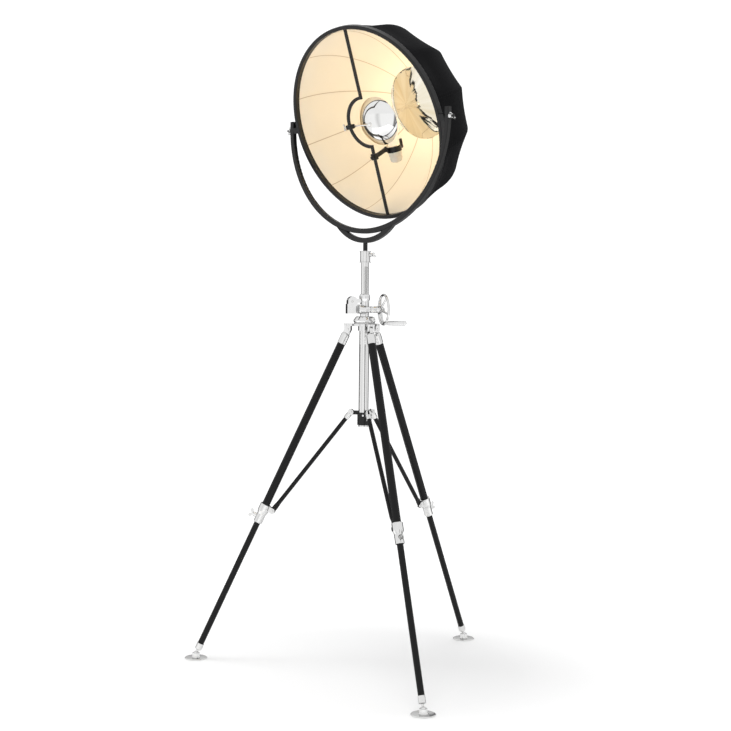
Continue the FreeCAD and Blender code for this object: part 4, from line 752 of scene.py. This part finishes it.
def meridian(radius, start, depth, power, hole):
    """(radius, back) points of an umbrella profile, from its start at the rim to the hole at the hub."""
    last = math.acos((hole / radius) ** (power / 2))
    points = []
    for index in range(PROFILE_STEPS):
        turn = last * index / (PROFILE_STEPS - 1)
        across = radius * math.cos(turn) ** (2 / power)
        back = start + (depth - start) * math.sin(turn) ** (2 / power)
        points.append((across, back))
    return points


def rim_angle(place, settings):
    """Angle of a place round the shade's axis, from the first rib."""
    return math.atan2(place.z, place.x) - settings.phase


def draw_to_ribs(work, along, hollow, settings):
    """Draws a round sheet in to flat panels between the ribs, and hollows them a little at their middles.

    Notes each vertex's distance from the nearest seam. Along is the length of the whole profile.
    """
    seam_layer = work.verts.layers.float.new("seam")
    along_layer = work.verts.layers.float["along"]
    reach_layer = work.verts.layers.float["reach"]
    half = math.pi / settings.gores
    for vertex in work.verts:
        from_middle = (rim_angle(vertex.co, settings) % (2 * half)) - half
        reach = vertex[reach_layer]
        flatness = min(1.0, vertex[along_layer] / (ROUND_HEM * along))
        flatness = flatness * flatness * (3 - 2 * flatness)
        panel = reach * math.cos(half) / math.cos(from_middle)
        flat = reach + (panel - reach) * flatness
        vertex[seam_layer] = reach * (math.sin(half) - math.cos(half) * abs(math.tan(from_middle)))
        middle = 1 - (from_middle / half) ** 2
        taper = math.sin(math.pi * min(1.0, vertex[along_layer] / along)) ** HOLLOW_TAPER
        direction = Vector((vertex.co.x, 0, vertex.co.z)).normalized()
        vertex.co = direction * (flat - hollow * middle * taper) + Vector((0, vertex.co.y, 0))


def map_gores(work, settings):
    """Lays each gore flat on the map, in metres."""
    cut = work.loops.layers.uv.new("cut")
    along_layer = work.verts.layers.float["along"]
    reach_layer = work.verts.layers.float["reach"]
    half = math.pi / settings.gores
    for face in work.faces:
        gore = math.floor(rim_angle(face.calc_center_median(), settings) / (2 * half))
        middle_angle = settings.phase + (2 * gore + 1) * half
        for loop in face.loops:
            place = loop.vert.co
            turn = math.atan2(place.z, place.x) - middle_angle
            turn = (turn + math.pi) % math.tau - math.pi
            across = loop.vert[reach_layer] * math.cos(half) * math.tan(turn)
            loop[cut].uv = (across + gore * GORE_SPACING, loop.vert[along_layer])


def gored_sheet(name, profile, hollow, settings):
    """Cloth of sewn gores on the ribs. Returns it with its flat size and its area."""
    work = bmesh.new()
    along_layer = work.verts.layers.float.new("along")
    reach_layer = work.verts.layers.float.new("reach")
    first = Vector((math.cos(settings.phase), 0, math.sin(settings.phase)))
    verts, edges = chain(work, [first * radius + Vector((0, back, 0)) for radius, back in profile])
    along = 0.0
    for index, vertex in enumerate(verts):
        if index:
            along += (Vector(profile[index]) - Vector(profile[index - 1])).length
        vertex[along_layer] = along
        vertex[reach_layer] = profile[index][0]
    spin_round(work, verts, edges, settings.gores * settings.panel_steps, (0, -1, 0))
    bmesh.ops.remove_doubles(work, verts=work.verts, dist=MERGE_DISTANCE)
    draw_to_ribs(work, along, hollow, settings)
    map_gores(work, settings)
    area = sum(face.calc_area() for face in work.faces)
    bmesh.ops.transform(work, matrix=HEAD, verts=work.verts)
    cloth = piece(work, name, "head", CLOTH_ANGLE)
    wall = cloth.modifiers.new("cloth", "SOLIDIFY")
    wall.thickness = settings.cloth_thickness
    wall.offset = -1
    width = 2 * settings.gores * profile[0][0] * math.sin(math.pi / settings.gores)
    return cloth, (width, along), area


def hang(name, node, profile, hollow, settings, surface):
    cloth, flat, area = gored_sheet(name, profile, hollow, settings)
    dress(surface, cloth)
    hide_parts(node)


class LAMP_OT_shade_cover(bpy.types.Operator):
    """Black outer cloth over the ribs"""
    bl_idname = "lamp.shade_cover"
    bl_label = "Shade cover"

    def execute(self, context):
        settings = context.scene.lamp_shade
        profile = meridian(RIM_OUT - HEM_INSET, RIM_BACK, COVER_HIGH.y, settings.cover_power,
                           settings.hub_hole)
        hang("cover_cloth", "shade_cover", profile, settings.cover_hollow, settings, cover_cotton(settings))
        return {"FINISHED"}


class LAMP_OT_shade_lining(bpy.types.Operator):
    """Cream inner cloth"""
    bl_idname = "lamp.shade_lining"
    bl_label = "Shade lining"

    def execute(self, context):
        settings = context.scene.lamp_shade
        inward, forward = LINING_TUCK
        profile = meridian(RIM_IN - inward, RIM_BACK - forward, LINING_HIGH.y, settings.lining_power,
                           settings.hub_hole)
        hang("lining_cloth", "shade_lining", profile, settings.lining_hollow, settings,
             lining_cotton(settings))
        return {"FINISHED"}


# ---------------------------------------------------------------- reflectors, lengths in metres

MIRROR_WALL = 0.001
ROLL_START = -150               # degrees of the rolled edge's section
ROLL_SWEEP = 300
ROLL_POINTS = 9
SMALL_TURN_STEPS = 32

DISH_RISE = 0.008               # from the crown of the dish back to its rim
DISH_BEAD_R = 0.0012
DISH_POINTS = 40
DISH_STEPS = 192
BUTTON_RISE = 0.0026
BUTTON = ((0, -BUTTON_RISE), (0.003, -BUTTON_RISE), (0.006, -0.0016), (0.007, 0.0004), (0, 0.0004))
POST_R = 0.008
POST_START = 0.0006             # behind the crown of the dish
CREASE_X = -0.055               # from the middle of the dish to the point where the creases meet
CREASE_HEIGHT = 0.00030
CREASE_TILT = 0.0070
CREASE_START = 0.03             # from that point, where the creases reach their height
CREASE_WAVES = ((5, 0.6, 1.0), (9, 2.0, 0.7), (16, 4.1, 0.4))   # waves in a turn, shift, share of the height

BOWL_RISE = 0.043
BOWL_BEAD_R = 0.0014
BOWL_MARGIN = (0.0012, 0.0016)  # from the node's box to the bowl's edge, and to the middle of its rolled rim
BOWL_POINTS = 20
BOWL_STEPS = 96
BOSS = ((0, -0.0065), (0.0045, -0.0065), (0.006, -0.0050), (0.006, 0.0006), (0, 0.0006))
ROD_R = 0.0025
ROD_BEVEL = 0.0005
ROD_BACK = 0.009                # of the rod's axis behind the tilt axis
ROD_STEPS = 24


def dish_outline(radius, crown, rim, bead, points):
    """(radius, back) points of a thin spherical dish, convex to the front, with a rolled edge."""
    depth = rim - crown
    sphere = (radius ** 2 + depth ** 2) / (2 * depth)
    inner = sphere - MIRROR_WALL
    last = math.asin(radius / sphere)
    front = []
    back = []
    for index in range(points):
        turn = last * index / (points - 1)
        front.append((sphere * math.sin(turn), crown + sphere * (1 - math.cos(turn))))
        back.append((inner * math.sin(turn), crown + sphere - inner * math.cos(turn)))
    roll = []
    for index in range(ROLL_POINTS):
        turn = math.radians(ROLL_START + index * ROLL_SWEEP / (ROLL_POINTS - 1))
        roll.append((radius - bead + bead * math.cos(turn), rim + bead * math.sin(turn)))
    return front + roll + back[::-1]


class LAMP_OT_reflectors(bpy.types.Operator):
    """Mirror dish at the back of the shade and the small bowl in front of the bulb"""
    bl_idname = "lamp.reflectors"
    bl_label = "Reflectors"

    def execute(self, context):
        self.make_dish()
        self.make_bowl()
        return {"FINISHED"}

    def make_dish(self):
        on_axis = HEAD @ Matrix.Rotation(math.radians(-90), 4, "X")
        radius = DISH_HIGH.x
        crown = DISH_LOW.y + BUTTON_RISE
        work = bmesh.new()
        outline = dish_outline(radius, crown, crown + DISH_RISE, DISH_BEAD_R, DISH_POINTS)
        turned_piece(work, outline, Matrix(), DISH_STEPS)
        fan = work.verts.layers.float_vector.new("fan")
        for vertex in work.verts:
            offset = Vector((vertex.co.x - CREASE_X, vertex.co.y))
            outward = offset.normalized()
            vertex[fan] = (outward.x, outward.y, offset.length)
            vertex.co.z += self.crease(vertex.co, radius)
        bmesh.ops.transform(work, matrix=on_axis, verts=work.verts)
        start = crown + POST_START
        post = [(0, start), (POST_R, start), (POST_R, DISH_HIGH.y), (0, DISH_HIGH.y)]
        turned_piece(work, post, on_axis, SMALL_TURN_STEPS)
        turned_piece(work, [(reach, crown + back) for reach, back in BUTTON], on_axis, SMALL_TURN_STEPS)
        dish = piece(work, "apex_mirror", "head", METAL_ANGLE)
        dress(creased_mirror("mirror_dish", *DISH_WAVES), dish)
        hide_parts("apex_reflector")

    def crease(self, place, radius):
        """Soft creases of the thin mirror that run from one point beside its middle to the edge."""
        offset = Vector((place.x - CREASE_X, place.y))
        reach = offset.length
        turn = math.atan2(offset.y, offset.x)
        wave = sum(share * math.sin(count * turn + shift) for count, shift, share in CREASE_WAVES)
        inner = min(1.0, reach / CREASE_START)
        edge = max(0.0, 1 - (math.hypot(place.x, place.y) / radius) ** 6)
        height = CREASE_HEIGHT * wave * inner * edge * (reach / radius)
        return height - CREASE_TILT * (place.x / radius) * edge

    def make_bowl(self):
        centre = (BOWL_LOW.z + BOWL_HIGH.z) / 2
        place = HEAD @ Matrix.Translation((0, 0, centre)) @ Matrix.Rotation(math.radians(-90), 4, "X")
        rim = BOWL_HIGH.y - BOWL_MARGIN[1]
        crown = rim - BOWL_RISE
        work = bmesh.new()
        outline = dish_outline(BOWL_HIGH.x - BOWL_MARGIN[0], crown, rim, BOWL_BEAD_R, BOWL_POINTS)
        turned_piece(work, outline, place, BOWL_STEPS)
        turned_piece(work, [(reach, crown + back) for reach, back in BOSS], place, SMALL_TURN_STEPS)
        rod_place = facing(HEAD @ Vector((BOWL_LOW.x, ROD_BACK, centre)), HEAD.to_3x3() @ Vector((1, 0, 0)))
        length = -BOWL_LOW.x
        rod = [(0, 0), (ROD_R - ROD_BEVEL, 0), (ROD_R, ROD_BEVEL), (ROD_R, length), (0, length)]
        turned_piece(work, rod, rod_place, ROD_STEPS)
        bowl = piece(work, "mirror_bowl", "bowl", METAL_ANGLE)
        # warm slanting tint: painted gold on the bowl's reflection of the lining
        dress(mirror_metal("mirror_bowl", *BOWL_WAVES, BOWL_PAINTED_GOLD_EDGE), bowl)
        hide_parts("bowl_reflector")


# ---------------------------------------------------------------- lamp

BULB_LIGHT_R = 0.02
BULB_LIGHT_GAP = 0.004          # between the bulb's glass and its light


class LAMP_OT_lamp(bpy.types.Operator):
    """Lit bulb, its cap and the glazed holder"""
    bl_idname = "lamp.lamp"
    bl_label = "Lamp"

    def execute(self, context):
        settings = context.scene.lamp_bulb
        nodes = frame["nodes"]
        dress(glazed_ceramic(settings.ceramic), nodes["lampholder"])
        dress(lit_glass(settings), nodes["bulb_glass"])
        dress(plated_cap(), nodes["bulb_cap"])
        self.make_light(context.scene, settings)
        return {"FINISHED"}

    def make_light(self, scene, settings):
        """Light of the bulb, just behind its glass, which rides with the lamp."""
        data = bpy.data.lights.new("bulb_light", "POINT")
        data.energy = settings.light
        data.color = settings.glow_colour
        data.shadow_soft_size = BULB_LIGHT_R
        light = bpy.data.objects.new("bulb_light", data)
        scene.collection.objects.link(light)
        middle = (BULB_LOW + BULB_HIGH) / 2
        spot = Vector((middle.x, BULB_HIGH.y + BULB_LIGHT_R + BULB_LIGHT_GAP, BULB_HIGH.z))
        light.matrix_world = Matrix.Translation(HEAD @ spot)
        light.visible_camera = False
        light.visible_glossy = False
        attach(light, "lamp")


# ---------------------------------------------------------------- panel and start

class LAMP_PT_panel(bpy.types.Panel):
    """Sizes, colours and makers of the lamp"""
    bl_idname = "LAMP_PT_panel"
    bl_label = "Floor lamp"
    bl_space_type = "VIEW_3D"
    bl_region_type = "UI"
    bl_category = "Floor lamp"

    def draw(self, context):
        for operator in OPERATORS:
            self.layout.operator(operator.bl_idname)
        for name in GROUPS:
            settings = getattr(context.scene, name)
            box = self.layout.box()
            for item in settings.__annotations__:
                box.prop(settings, item)


OPERATORS = (LAMP_OT_stage, LAMP_OT_bright_metal, LAMP_OT_black_metal, LAMP_OT_shade_cover,
             LAMP_OT_shade_lining, LAMP_OT_reflectors, LAMP_OT_lamp)
GROUPS = {"lamp_stage": StageSettings, "lamp_shade": ShadeSettings, "lamp_metal": MetalSettings,
          "lamp_bulb": LampSettings}


def register():
    for group in GROUPS.values():
        bpy.utils.register_class(group)
    for name, group in GROUPS.items():
        setattr(bpy.types.Scene, name, PointerProperty(type=group))
    for operator in OPERATORS:
        bpy.utils.register_class(operator)
    bpy.utils.register_class(LAMP_PT_panel)


def unregister():
    bpy.utils.unregister_class(LAMP_PT_panel)
    for operator in reversed(OPERATORS):
        bpy.utils.unregister_class(operator)
    for name, group in GROUPS.items():
        delattr(bpy.types.Scene, name)
        bpy.utils.unregister_class(group)


def main():
    register()
    bpy.ops.lamp.stage()
    bpy.ops.lamp.bright_metal()
    bpy.ops.lamp.black_metal()
    bpy.ops.lamp.shade_cover()
    bpy.ops.lamp.shade_lining()
    bpy.ops.lamp.reflectors()
    bpy.ops.lamp.lamp()


if __name__ == "__main__":
    main()
